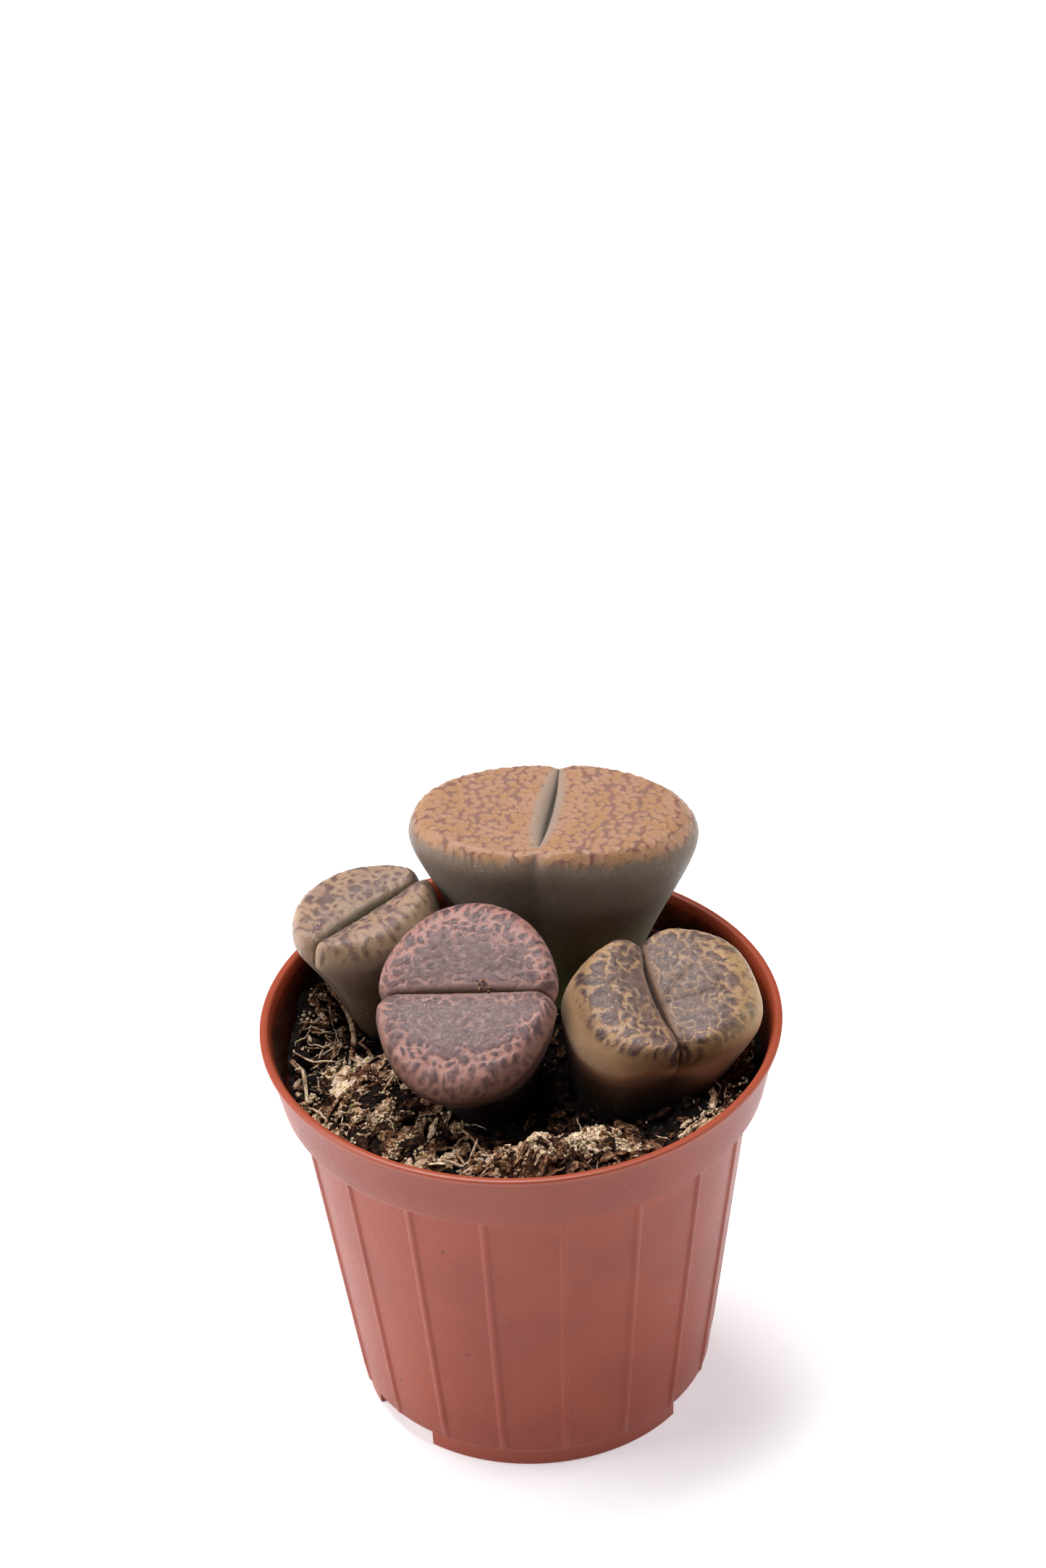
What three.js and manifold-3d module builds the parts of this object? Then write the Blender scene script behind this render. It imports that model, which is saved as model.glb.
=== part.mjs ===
// Four living stones in a filled plastic pot. Millimetres, +Z up, the origin at the middle of the pot's foot.
import * as THREE from 'three';
import { mergeVertices } from 'three/addons/utils/BufferGeometryUtils.js';
import Module from 'manifold-3d';

const wasm = await Module();
wasm.setup();

// Pot: a thin moulded cup with a foot ring, a ribbed wall and a collar under a rolled lip
const potHeight = 46;
const rimRadius = 27.5;
const lipHeight = 0.7;
const skin = 0.8;
const collarLow = 38.6;
const collarLowRadius = 25.6;
const collarHighRadius = 27.05;
const wallTopRadius = 24.0;
const wallFootRadius = 18.9;
const footHeight = 2.4;
const footRadius = 18.3;
const potSides = 60;
const ribCount = 18;
const ribTurn = -11.5;
const ribWidth = 1.5;
const ribProud = 0.35;
const notchCount = 3;
const notchMiddle = 67;
const notchSweep = 29;
const drainCount = 4;
const drainRadius = 2.2;
const drainRing = 10.5;

// Soil: a filling with an uneven top that stands clear of the pot and of the plants
const seatGap = 0.3;
const soilSides = 54;
const soilRows = 11;
const soilLevel = 40.0;
const soilRise = { x: 0.045, y: 0.035 };
const hollows = [
  { x: -1.5, y: -11.5, size: 7, depth: 1.5 },
  { x: 10, y: -9.5, size: 7, depth: 1.3 },
];
const lumpCount = 130;
const grain = 0.7;
const chipCount = 30;
const chipBed = [-82, -34];

// Crust: a pale cake of grit and fibre that lies on the soil at the front of the pot
const crust = { from: -24, to: 42, inner: 14.6, outer: 24.4, middle: 9, crest: 19.2, thick: 2.1 };
const crustMargin = 10;

// Plants: what every head shares, then each head's own sizes and lean (angles in degrees)
const around = 48;
const rows = { wall: 3, edge: 2, face: 6, side: 5 };
const rootSizes = [[0.9, 1.2], [0.66, 3], [0.4, 5.5], [0.2, 9], [0.06, 14]];
const reliefCell = 2.4;
const reliefHeight = 0.14;
const common = {
  gather: 0.55, reach: 0.9, endDepth: 1.4, innerRound: 0.7, outerRound: 2.2, endSag: 0.3,
  notch: 1.0, notchWidth: 1.0, notchRun: 3.0, bow: 0,
};
const plants = {
  plant_back: {
    ...common, base: [4.4, 15.1, 40], top: [3.7, 17.4, 60.3], height: 20.4, tilt: -3, toward: -90, turn: -10,
    right: 16.0, left: 14.8, half: 9.4, square: 2.3, gap: 2.4, depth: 6, domeRight: 0.3, domeLeft: -0.2,
    innerRound: 1.6, outerRound: 2.4, bow: 0.5, neckWide: 0.52, neckDeep: 0.7, notch: 0.9, notchWidth: 1.4,
    colour: 0xb98a62,
  },
  plant_left: {
    ...common, base: [-13.9, 10.0, 40], top: [-15.8, 10.9, 52.4], height: 12.6, tilt: 7, toward: -146, turn: -53,
    right: 6.6, left: 8.9, half: 8.1, square: 1.95, gap: 1.8, depth: 6, domeRight: 1.2, domeLeft: 0.8,
    neckWide: 0.62, neckDeep: 0.58, colour: 0x95826a,
  },
  plant_front: {
    ...common, base: [-4.2, -2.4, 38], top: [-5.7, -3.7, 52.5], height: 14.6, tilt: 27, toward: -110, turn: 82,
    right: 11.3, left: 12.1, half: 9.6, square: 2.0, gap: 0.7, depth: 4.5, domeRight: 0.5, domeLeft: 0.9,
    neckWide: 0.5, neckDeep: 0.58, colour: 0x8f6f68,
  },
  plant_right: {
    ...common, base: [12.5, -2.2, 38], top: [14.8, -2.2, 50.1], height: 12.4, tilt: 17, toward: -86, turn: 15,
    right: 10.7, left: 10.0, half: 7.9, square: 2.75, gap: 0.7, depth: 4.5, domeRight: 0.5, domeLeft: 1.0,
    bow: -0.6, neckWide: 0.76, neckDeep: 0.84, colour: 0xa08660,
  },
};

const degrees = THREE.MathUtils.degToRad;
const clamp = THREE.MathUtils.clamp;
const ease = (t) => THREE.MathUtils.smoothstep(t, 0, 1);

// A repeatable random source, so that every build places the same lumps and chips
function randomSource(seed) {
  let state = seed;
  return () => {
    state = (state * 1664525 + 1013904223) % 4294967296;
    return state / 4294967296;
  };
}

// A point of the plan, from a compass angle that starts at the front (-Y) and turns towards +X
const plan = (angle, radius) => [radius * Math.sin(degrees(angle)), -radius * Math.cos(degrees(angle))];

// Solids

function toSolid(geometry) {
  const bare = geometry.clone();
  bare.deleteAttribute('normal');
  bare.deleteAttribute('uv');
  const merged = mergeVertices(bare, 1e-4);
  return new wasm.Manifold(new wasm.Mesh({
    numProp: 3,
    vertProperties: new Float32Array(merged.attributes.position.array),
    triVerts: new Uint32Array(merged.index.array),
  }));
}

// The body itself, with any pocket sealed between fused pieces filled and any loose scrap dropped
function mainBody(solid) {
  return solid.decompose().reduce((a, b) => (a.volume() > b.volume() ? a : b));
}

function fromSolid(solid) {
  const mesh = mainBody(solid).getMesh();
  const geometry = new THREE.BufferGeometry();
  geometry.setAttribute('position', new THREE.BufferAttribute(mesh.vertProperties, 3));
  geometry.setIndex(new THREE.BufferAttribute(mesh.triVerts, 1));
  return geometry;
}

function indexed(points, triangles) {
  const geometry = new THREE.BufferGeometry();
  geometry.setAttribute('position', new THREE.Float32BufferAttribute(points.flat(), 3));
  geometry.setIndex(triangles.flat());
  return geometry;
}

// Skins rings of equal count from the first to the last; each end closes on a point.
// A ring runs anticlockwise seen from above while the rings go down its outside.
function skinRings(rings, firstPoint, lastPoint) {
  const count = rings[0].length;
  const points = rings.flat();
  const triangles = [];
  for (let k = 0; k + 1 < rings.length; k += 1) {
    for (let j = 0; j < count; j += 1) {
      const a = k * count + j;
      const b = k * count + ((j + 1) % count);
      triangles.push([a, a + count, b]);
      triangles.push([b, a + count, b + count]);
    }
  }
  const first = points.push(firstPoint) - 1;
  const last = points.push(lastPoint) - 1;
  const base = (rings.length - 1) * count;
  for (let j = 0; j < count; j += 1) {
    const next = (j + 1) % count;
    triangles.push([first, j, next]);
    triangles.push([last, base + next, base + j]);
  }
  return indexed(points, triangles);
}

// Pot

const wallRadius = (z) => THREE.MathUtils.mapLinear(z, footHeight, collarLow, wallFootRadius, wallTopRadius);

function potCup() {
  const lip = potHeight - lipHeight;
  const profile = [
    [0, footHeight],
    [footRadius - 1, footHeight],
    [footRadius - 1, 0],
    [footRadius, 0],
    [footRadius, footHeight - 0.3],
    [wallFootRadius, footHeight],
    [wallTopRadius, collarLow - 0.6],
    [collarLowRadius, collarLow],
    [collarHighRadius, lip],
    [rimRadius - 0.1, lip + 0.05],
    [rimRadius, potHeight - 0.35],
    [rimRadius - 0.15, potHeight - 0.08],
    [rimRadius - 0.45, potHeight],
    [rimRadius - 0.75, potHeight - 0.1],
    [collarHighRadius - skin, lip - 0.3],
    [collarLowRadius - skin, collarLow - 0.2],
    [wallTopRadius - skin, collarLow - 1],
    [wallFootRadius - skin, footHeight + skin + 0.2],
    [wallFootRadius - skin - 0.3, footHeight + skin],
    [0, footHeight + skin],
  ].map(([r, z]) => new THREE.Vector2(r, z));
  return new THREE.LatheGeometry(profile, potSides).rotateX(Math.PI / 2);
}

// A rib runs up the wall from the foot to the collar, its back sunk into the skin
function rib(angle) {
  const low = footHeight + 0.1;
  const high = collarLow - 0.5;
  const corners = [];
  for (const z of [low, high]) {
    const proud = wallRadius(z) + ribProud;
    const sunk = wallRadius(z) - 0.4 * skin;
    const face = 0.5 * ribWidth - 0.3;
    const foot = 0.5 * ribWidth;
    for (const [side, r] of [[-foot, sunk], [foot, sunk], [face, proud], [-face, proud]]) {
      corners.push([side, -r, z]);
    }
  }
  const faces = [
    [0, 3, 2], [0, 2, 1], [4, 5, 6], [4, 6, 7], [0, 1, 5], [0, 5, 4],
    [1, 2, 6], [1, 6, 5], [2, 3, 7], [2, 7, 6], [3, 0, 4], [3, 4, 7],
  ].map(([a, b, c]) => [a, c, b]);
  return indexed(corners, faces).rotateZ(degrees(angle));
}

// A block that takes the foot ring away over one arc, for air and water under the pot
function footNotch(angle) {
  const shape = new THREE.Shape();
  const half = degrees(0.5 * notchSweep);
  shape.absarc(0, 0, footRadius + 1, -half, half, false);
  shape.absarc(0, 0, footRadius - 2, half, -half, true);
  const block = new THREE.ExtrudeGeometry(shape, { depth: footHeight, bevelEnabled: false, curveSegments: 6 });
  return block.translate(0, 0, -0.5).rotateZ(degrees(angle - 90));
}

function drain(angle) {
  const [x, y] = plan(angle, drainRing);
  const plug = new THREE.CylinderGeometry(drainRadius, drainRadius, 4 * skin, 12).rotateX(Math.PI / 2);
  return plug.translate(x, y, footHeight + 0.5 * skin);
}

function potGeometry() {
  let solid = toSolid(potCup());
  for (let k = 0; k < ribCount; k += 1) {
    solid = solid.add(toSolid(rib(ribTurn + (360 / ribCount) * k)));
  }
  for (let k = 0; k < notchCount; k += 1) {
    solid = solid.subtract(toSolid(footNotch(notchMiddle + (360 / notchCount) * k)));
  }
  for (let k = 0; k < drainCount; k += 1) {
    solid = solid.subtract(toSolid(drain(45 + (360 / drainCount) * k)));
  }
  return fromSolid(solid);
}

// Plants

const softMin = (limit, value) => (limit ** -4 + Math.max(value, 1e-6) ** -4) ** -0.25;

// 0 at the face's edge and 1 at the soil: a rounded start, then a straight flare that eases off
function sideTaper(f) {
  const e = (1.06 * f * f) / (f + 0.06);
  return 0.3 * ease(e) + 0.7 * Math.sin(0.5 * Math.PI * e);
}

// Low cobbles over the face, as high as a point lies near the middle of its cell
function relief(x, y) {
  const i = Math.round(x / reliefCell);
  const j = Math.round(y / reliefCell);
  let nearest = reliefCell;
  for (let a = i - 1; a <= i + 1; a += 1) {
    for (let b = j - 1; b <= j + 1; b += 1) {
      const jitter = randomSource((a + 100) * 7919 + (b + 100) * 104729);
      const cx = (a + 0.6 * (jitter() - 0.5)) * reliefCell;
      const cy = (b + 0.6 * (jitter() - 0.5)) * reliefCell;
      nearest = Math.min(nearest, Math.hypot(x - cx, y - cy));
    }
  }
  return reliefHeight * (1 - (2 * nearest) / reliefCell);
}

// One ray of a head, in its upright frame: points from the fissure's floor, up its wall, over the leaf's
// face and down its side to the root. The fissure runs along Y, and the leaves lie to +X and -X of it.
function headRay(p, turnIndex) {
  const u = (2 * Math.PI * turnIndex) / around;
  const nu = u - 0.5 * p.gather * Math.sin(2 * u);
  const s = Math.abs(Math.sin(nu)) < 1e-9 ? 0 : Math.sin(nu);
  const c = Math.cos(nu);
  const onRight = s >= 0;
  const power = 2 / p.square;
  const ox = (onRight ? p.right : p.left) * Math.sign(s) * Math.abs(s) ** power;
  const oy = p.half * Math.sign(c) * Math.abs(c) ** power;
  const fy = p.half * p.reach * c;
  const fx = p.bow * (1 - (fy / p.half) ** 2);
  const middle = 1 - c * c;
  const opening = 0.5 * p.gap * middle ** 0.8;
  const floor = p.endDepth + (p.depth - p.endDepth) * middle;
  const run = Math.hypot(ox - fx, oy - fy);
  const [ux, uy] = [(ox - fx) / run, (oy - fy) / run];
  const onLeaf = ease(Math.abs(s) / 0.4);
  const inner = softMin(p.innerRound, 0.3 * run);
  const outer = softMin(p.outerRound, 0.6 * run);
  const dome = onRight ? p.domeRight : p.domeLeft;
  const faceZ = (d) => onLeaf * dome * (1 - (2 * clamp(d / run, 0, 1) - 1) ** 2) - (1 - onLeaf) * p.endSag;
  const points = [];
  const add = (d, z) => points.push([fx + ux * d, fy + uy * d, z]);
  const wallTop = faceZ(opening) - inner;
  for (let k = 0; k < rows.wall; k += 1) {
    const f = k / rows.wall;
    add(opening * f ** 0.8, -floor + (wallTop + floor) * f);
  }
  for (let k = 0; k < rows.edge; k += 1) {
    const t = (0.5 * Math.PI * k) / rows.edge;
    const d = opening + inner * (1 - Math.cos(t));
    add(d, faceZ(d) - inner * (1 - Math.sin(t)));
  }
  const [near, far] = [opening + inner, run - outer];
  for (let k = 0; k < rows.face; k += 1) {
    const d = near + ((far - near) * k) / (rows.face - 1);
    add(d, faceZ(d) + onLeaf * relief(fx + ux * d, fy + uy * d));
  }
  for (let k = 1; k <= rows.edge + 1; k += 1) {
    const t = (0.5 * Math.PI * k) / (rows.edge + 1);
    const d = far + outer * Math.sin(t);
    add(d, faceZ(d) - outer * (1 - Math.cos(t)));
  }
  const edgeZ = points.at(-1)[2];
  for (let k = 1; k <= rows.side; k += 1) {
    const f = k / rows.side;
    const t = sideTaper(f);
    points.push([ox * (1 - (1 - p.neckWide) * t), oy * (1 - (1 - p.neckDeep) * t), edgeZ - (p.height + edgeZ) * f]);
  }
  for (const [size, down] of rootSizes) {
    points.push([ox * p.neckWide * size, oy * p.neckDeep * size, -p.height - down]);
  }
  return points;
}

// The notch that the fissure's two ends leave in the outline, fading down the side
function crease(p, [x, y, z]) {
  const line = p.bow * (1 - (y / p.half) ** 2);
  const across = Math.exp(-(((x - line) / p.notchWidth) ** 2));
  const out = ease((Math.abs(y) / p.half - 0.35) / 0.4);
  const amount = p.notch * across * out * Math.exp(Math.min(z, 0) / p.notchRun);
  return [x, y - Math.sign(y) * amount, z - 0.5 * amount * ease((z + 3) / 3)];
}

// The turned frame of a face that leans by `tilt` towards the compass angle `toward`
function faceFrame(tilt, toward, turn) {
  const axis = new THREE.Vector3(-Math.sin(degrees(toward)), Math.cos(degrees(toward)), 0);
  const lean = new THREE.Quaternion().setFromAxisAngle(axis, degrees(tilt));
  const spin = new THREE.Quaternion().setFromAxisAngle(new THREE.Vector3(0, 0, 1), degrees(turn));
  const pose = lean.multiply(spin);
  return [[1, 0, 0], [0, 1, 0], [0, 0, 1]].map((v) => new THREE.Vector3(...v).applyQuaternion(pose));
}

// Bends an upright head so that its neck stands straight in the soil and its face looks its own way
function bender(p) {
  const base = new THREE.Vector3(...p.base);
  const top = new THREE.Vector3(...p.top);
  const level = faceFrame(0, 0, p.turn);
  const face = faceFrame(p.tilt, p.toward, p.turn);
  const up = new THREE.Vector3(0, 0, 1);
  const length = top.distanceTo(base);
  return ([x, y, z]) => {
    const s = clamp((z + p.height) / p.height, 0, 1);
    const centre = base.clone().multiplyScalar(2 * s ** 3 - 3 * s ** 2 + 1);
    centre.addScaledVector(up, length * (s ** 3 - 2 * s ** 2 + s));
    centre.addScaledVector(top, 3 * s ** 2 - 2 * s ** 3);
    centre.addScaledVector(face[2], length * (s ** 3 - s ** 2) + Math.max(z, 0));
    centre.addScaledVector(up, Math.min(z + p.height, 0));
    const across = level[0].clone().lerp(face[0], ease(s)).normalize();
    const along = level[1].clone().lerp(face[1], ease(s)).normalize();
    return centre.addScaledVector(across, x).addScaledVector(along, y).toArray();
  };
}

function headRings(p) {
  const rays = Array.from({ length: around }, (_, j) => headRay(p, j).map((point) => crease(p, point)));
  return rays[0].map((_, k) => rays.map((ray) => ray[k]));
}

// A head's first ring is the fissure's floor, where the two leaves' points meet two by two along a line
function headGeometry(p) {
  const bend = bender(p);
  const rings = headRings(p);
  const points = rings.flat().map(bend);
  const onFloor = (j) => Math.min(j, around - j);
  const name = (k, j) => (k === 0 ? onFloor(j) : k * around + j);
  const triangles = [];
  for (let k = 0; k + 1 < rings.length; k += 1) {
    for (let j = 0; j < around; j += 1) {
      const next = (j + 1) % around;
      triangles.push([name(k, j), name(k, next), name(k + 1, j)]);
      triangles.push([name(k, next), name(k + 1, next), name(k + 1, j)]);
    }
  }
  const tip = points.push(bend([0, 0, -p.height - rootSizes.at(-1)[1] - 1])) - 1;
  const lastRing = (rings.length - 1) * around;
  for (let j = 0; j < around; j += 1) {
    triangles.push([lastRing + j, lastRing + ((j + 1) % around), tip]);
  }
  return indexed(points, triangles);
}

// The hole that a plant stands in: its own side and root, wider by the gap, open above the soil
function plantHole(p) {
  const bend = bender(p);
  const firstSide = rows.wall + 2 * rows.edge + rows.face;
  const everySecond = (ring) => ring.filter((_, j) => j % 2 === 0);
  const rings = headRings(p).slice(firstSide).map((ring) => everySecond(ring).map(([x, y, z]) => {
    const r = Math.hypot(x, y);
    const wide = (r + 1.5 * seatGap) / r;
    return bend([x * wide, y * wide, z]);
  }));
  const above = bend([0, 0, 1]);
  const below = bend([0, 0, -p.height - rootSizes.at(-1)[1] - 1 - 2 * seatGap]);
  return skinRings(rings.map((ring) => ring.slice().reverse()), above, below);
}

// Soil

const lumps = (() => {
  const random = randomSource(41);
  return Array.from({ length: lumpCount }, () => {
    const [x, y] = plan(360 * random(), 24 * Math.sqrt(random()));
    return { x, y, size: 1.4 + 2.0 * random(), high: 0.4 + 0.9 * random() };
  });
})();

// A small rise or dip of its own for each place on the soil
function coarseness(x, y) {
  const random = randomSource(Math.round(997 * (x + 40)) * 31 + Math.round(991 * (y + 40)));
  random();
  return grain * (random() - 0.5);
}

// 1 in the middle of the crust's bed and 0 outside it
function crustBed(angle, radius) {
  const sideways = 1 - ((angle - crust.middle) / (0.5 * (crust.to - crust.from))) ** 2;
  const outwards = 1 - ((radius - crust.crest) / (crust.outer - crust.crest + 0.4)) ** 2;
  return Math.max(0, sideways) * Math.max(0, outwards);
}

function soilTop(angle, radius) {
  const [x, y] = plan(angle, radius);
  let z = soilLevel + soilRise.x * x + soilRise.y * y;
  for (const hollow of hollows) {
    z -= hollow.depth * Math.exp(-(((x - hollow.x) ** 2 + (y - hollow.y) ** 2) / hollow.size ** 2));
  }
  const wrapped = angle > 180 ? angle - 360 : angle;
  const bed = crustBed(wrapped, radius);
  const rough = 1 - ease(3 * bed);
  for (const lump of lumps) {
    const near = 1 - Math.hypot(x - lump.x, y - lump.y) / lump.size;
    z += near > 0 ? rough * lump.high * Math.sqrt(near) : 0;
  }
  return z + 0.8 * bed + rough * coarseness(x, y);
}

const soilRadius = collarLowRadius - skin - seatGap;
const rowRadius = (k) => soilRadius * (1 - k / soilRows);
const columnAngle = (j) => (360 / soilSides) * j;

function soilFilling() {
  const low = footHeight + skin + seatGap;
  const ring = (place) => Array.from({ length: soilSides }, (_, j) => place(columnAngle(j)));
  const level = (r, z) => ring((angle) => [...plan(angle, r), z]);
  const rings = [
    level(wallFootRadius - skin - 2 * seatGap, low),
    level(wallTopRadius - skin - 0.4, collarLow - 0.6),
    level(soilRadius - 0.1, collarLow + 0.3),
  ];
  for (let k = 0; k < soilRows; k += 1) {
    rings.push(ring((angle) => {
      const z = soilTop(angle, rowRadius(k));
      return [...plan(angle, rowRadius(k)), k === 0 ? Math.max(z, collarLow + 0.5) : z];
    }));
  }
  return skinRings(rings.reverse(), [0, 0, soilTop(0, 0)], [0, 0, low]);
}

// A flake of bark: a flat five-cornered piece, thinner above, sunk to its middle in the soil
function chip(random) {
  const spread = random() < 0.6 ? chipBed : [crust.to + crustMargin, 360 + crust.from - crustMargin];
  const angle = spread[0] + (spread[1] - spread[0]) * random();
  const long = 1.3 + 1.7 * random();
  const radius = 12 + (soilRadius - long - 12.5) * random();
  const wide = 0.7 + 0.6 * random();
  const piece = new THREE.CylinderGeometry(0.7 * wide, wide, 0.8, 5).scale(long / wide, 1, 1).rotateX(Math.PI / 2);
  piece.rotateY(1.3 * (random() - 0.5));
  piece.rotateZ(2 * Math.PI * random());
  const [x, y] = plan(angle, radius);
  return piece.translate(x, y, soilTop(angle, radius) + 0.35);
}

function soilGeometry() {
  const random = randomSource(7);
  let solid = toSolid(soilFilling());
  for (let k = 0; k < chipCount; k += 1) {
    solid = solid.add(toSolid(chip(random)));
  }
  for (const p of Object.values(plants)) {
    solid = solid.subtract(toSolid(plantHole(p)));
  }
  return fromSolid(solid);
}

// Crust: its underside copies the soil's own grid, a gap above it

function crustGeometry() {
  const firstColumn = Math.ceil(crust.from / columnAngle(1));
  const lastColumn = Math.floor(crust.to / columnAngle(1));
  const rowsUsed = [];
  for (let k = 0; k < soilRows; k += 1) {
    if (rowRadius(k) >= crust.inner && rowRadius(k) <= crust.outer) {
      rowsUsed.push(rowRadius(k));
    }
  }
  const columns = lastColumn - firstColumn + 1;
  const random = randomSource(19);
  const points = [];
  for (const lift of [0, 1]) {
    for (const radius of rowsUsed) {
      for (let j = firstColumn; j <= lastColumn; j += 1) {
        const angle = columnAngle(j);
        const under = soilTop(angle, radius) + seatGap;
        const thick = 0.5 + crust.thick * crustBed(angle, radius) * (0.5 + 0.9 * random());
        points.push([...plan(angle, radius), under + lift * thick]);
      }
    }
  }
  const layer = rowsUsed.length * columns;
  const at = (lift, i, j) => lift * layer + i * columns + j;
  const triangles = [];
  for (let i = 0; i + 1 < rowsUsed.length; i += 1) {
    for (let j = 0; j + 1 < columns; j += 1) {
      triangles.push([at(1, i, j), at(1, i, j + 1), at(1, i + 1, j + 1)]);
      triangles.push([at(1, i, j), at(1, i + 1, j + 1), at(1, i + 1, j)]);
      triangles.push([at(0, i, j), at(0, i + 1, j + 1), at(0, i, j + 1)]);
      triangles.push([at(0, i, j), at(0, i + 1, j), at(0, i + 1, j + 1)]);
    }
  }
  const wall = (a, b) => {
    triangles.push([a, a + layer, b]);
    triangles.push([b, a + layer, b + layer]);
  };
  for (let j = 0; j + 1 < columns; j += 1) {
    wall(at(0, 0, j + 1), at(0, 0, j));
    wall(at(0, rowsUsed.length - 1, j), at(0, rowsUsed.length - 1, j + 1));
  }
  for (let i = 0; i + 1 < rowsUsed.length; i += 1) {
    wall(at(0, i, 0), at(0, i + 1, 0));
    wall(at(0, i + 1, columns - 1), at(0, i, columns - 1));
  }
  return indexed(points, triangles);
}

// Assembly

function piece(name, geometry, color, roughness) {
  const mesh = new THREE.Mesh(geometry, new THREE.MeshStandardMaterial({ color, roughness, metalness: 0 }));
  mesh.name = name;
  return mesh;
}

const pottedPlant = new THREE.Group();
pottedPlant.add(piece('pot', potGeometry(), 0xa8604c, 0.5));
pottedPlant.add(piece('soil', soilGeometry(), 0x2a221b, 0.95));
pottedPlant.add(piece('soil_crust', crustGeometry(), 0xb7a07c, 0.95));
for (const [name, p] of Object.entries(plants)) {
  pottedPlant.add(piece(name, headGeometry(p), p.colour, 0.6));
}

export default pottedPlant;
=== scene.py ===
"""Four living stones in a filled nursery pot: fine surfaces, materials, light and camera."""
import math
from itertools import product
from types import SimpleNamespace as Record

import bmesh
import bpy
import numpy as np
from mathutils import Matrix, Vector


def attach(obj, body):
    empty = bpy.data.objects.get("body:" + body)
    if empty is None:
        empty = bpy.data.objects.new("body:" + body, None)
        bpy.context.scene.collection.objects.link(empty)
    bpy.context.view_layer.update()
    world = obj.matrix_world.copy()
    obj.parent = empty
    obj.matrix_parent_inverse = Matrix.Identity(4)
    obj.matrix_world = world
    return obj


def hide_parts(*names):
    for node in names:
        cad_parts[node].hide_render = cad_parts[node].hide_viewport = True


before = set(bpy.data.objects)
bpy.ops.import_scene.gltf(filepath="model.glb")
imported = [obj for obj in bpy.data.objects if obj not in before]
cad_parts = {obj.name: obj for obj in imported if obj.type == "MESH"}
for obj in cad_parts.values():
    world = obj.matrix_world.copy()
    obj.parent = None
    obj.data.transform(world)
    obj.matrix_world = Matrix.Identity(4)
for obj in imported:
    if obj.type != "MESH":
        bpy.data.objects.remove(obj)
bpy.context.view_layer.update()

MM = 0.001


# Sizes that the plants, the pot and the soil share with the solids they stand for (millimetres, degrees)

def plant(**own):
    """A plant's sizes: its own, and for the rest those that most plants share."""
    shared = dict(
        gather=0.55, reach=0.94, near_reach=0.94, end_round=0.35, depth=2.8, end_depth=1.4, outer_round=2.2,
        end_sag=0.1, roll=2.0, roll_width=2.0, notch=0.6, notch_width=0.8, notch_run=4.0, seam=0.4,
        seam_width=0.16, bow=0.0, open_power=0.8, wall_power=0.8)
    return Record(**{**shared, **own})


PLANTS = dict(
    plant_back=plant(
        base=(4.4, 15.1, 40.0), top=(3.7, 17.4, 60.3), height=20.4, tilt=-3, toward=-90, turn=-10,
        right=16.0, left=14.8, half=9.4, square=2.3, depth=2.3, end_depth=1.1, dome_right=0.3, dome_left=-0.2,
        open_right=0.06, open_left=0.4, open_power=1.6, round_right=0.75, round_left=1.3, wall_power=1.0,
        outer_round=2.6, bow=0.5, near_reach=0.8, end_round=0.15, neck_wide=0.52, neck_deep=0.7, notch=0.5,
        notch_width=0.9, notch_run=3.5, roll=0.7, roll_width=1.3, seam=0.05),
    plant_left=plant(
        base=(-13.9, 10.0, 40.0), top=(-15.8, 10.9, 52.4), height=12.6, tilt=7, toward=-146, turn=-53,
        right=6.6, left=8.9, half=8.1, square=1.95, dome_right=1.2, dome_left=0.8, open_right=0.1,
        open_left=0.3, round_right=0.4, round_left=0.9, neck_wide=0.62, neck_deep=0.58),
    plant_front=plant(
        base=(-4.2, -2.4, 38.0), top=(-5.7, -3.7, 52.5), height=14.6, tilt=27, toward=-110, turn=82,
        right=11.3, left=12.1, half=9.6, square=2.0, dome_right=0.5, dome_left=0.9, open_right=0.25,
        open_left=0.05, round_right=0.7, round_left=0.35, neck_wide=0.5, neck_deep=0.58),
    plant_right=plant(
        base=(12.5, -2.2, 38.0), top=(14.8, -2.2, 50.1), height=12.4, tilt=17, toward=-86, turn=15,
        right=10.7, left=10.0, half=7.9, square=2.75, depth=3.2, dome_right=0.8, dome_left=1.1,
        open_right=0.3, open_left=0.15, open_power=1.6, round_right=0.7, round_left=0.4, outer_round=2.9,
        bow=-0.9, neck_wide=0.76, neck_deep=0.84),
)

# The root under each neck: parts of the neck's size, and how far down
ROOT_SIZES = ((0.9, 1.2), (0.66, 3.0), (0.4, 5.5), (0.2, 9.0), (0.06, 14.0))

POT_HEIGHT = 46.0
RIM_RADIUS = 27.5
LIP_LOW = 45.3
SKIN = 0.8
COLLAR_LOW = 38.6
COLLAR_LOW_RADIUS = 25.6
COLLAR_HIGH_RADIUS = 27.05
WALL_TOP_RADIUS = 24.0
WALL_FOOT_RADIUS = 18.9
FOOT_HEIGHT = 2.4
FOOT_RADIUS = 18.3
RIB_COUNT = 18
RIB_TURN = -11.5
RIB_PROUD = 0.24
RIB_SPAN = 0.75
RIB_COLUMNS = np.array((-RIB_SPAN, -0.62, -0.5, -0.38, -0.24, -0.08, 0.08, 0.24, 0.38, 0.5, 0.62))
NOTCH_ANGLES = (67, 187, 307)
NOTCH_SWEEP = 29
DRAIN_RADIUS = 2.2
DRAIN_RING = 10.5
DRAIN_ANGLES = (45, 135, 225, 315)
PROFILE_STEP = 2.5
GATHER_RADIUS = 6.0
SHARP_ANGLE = 35

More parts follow.
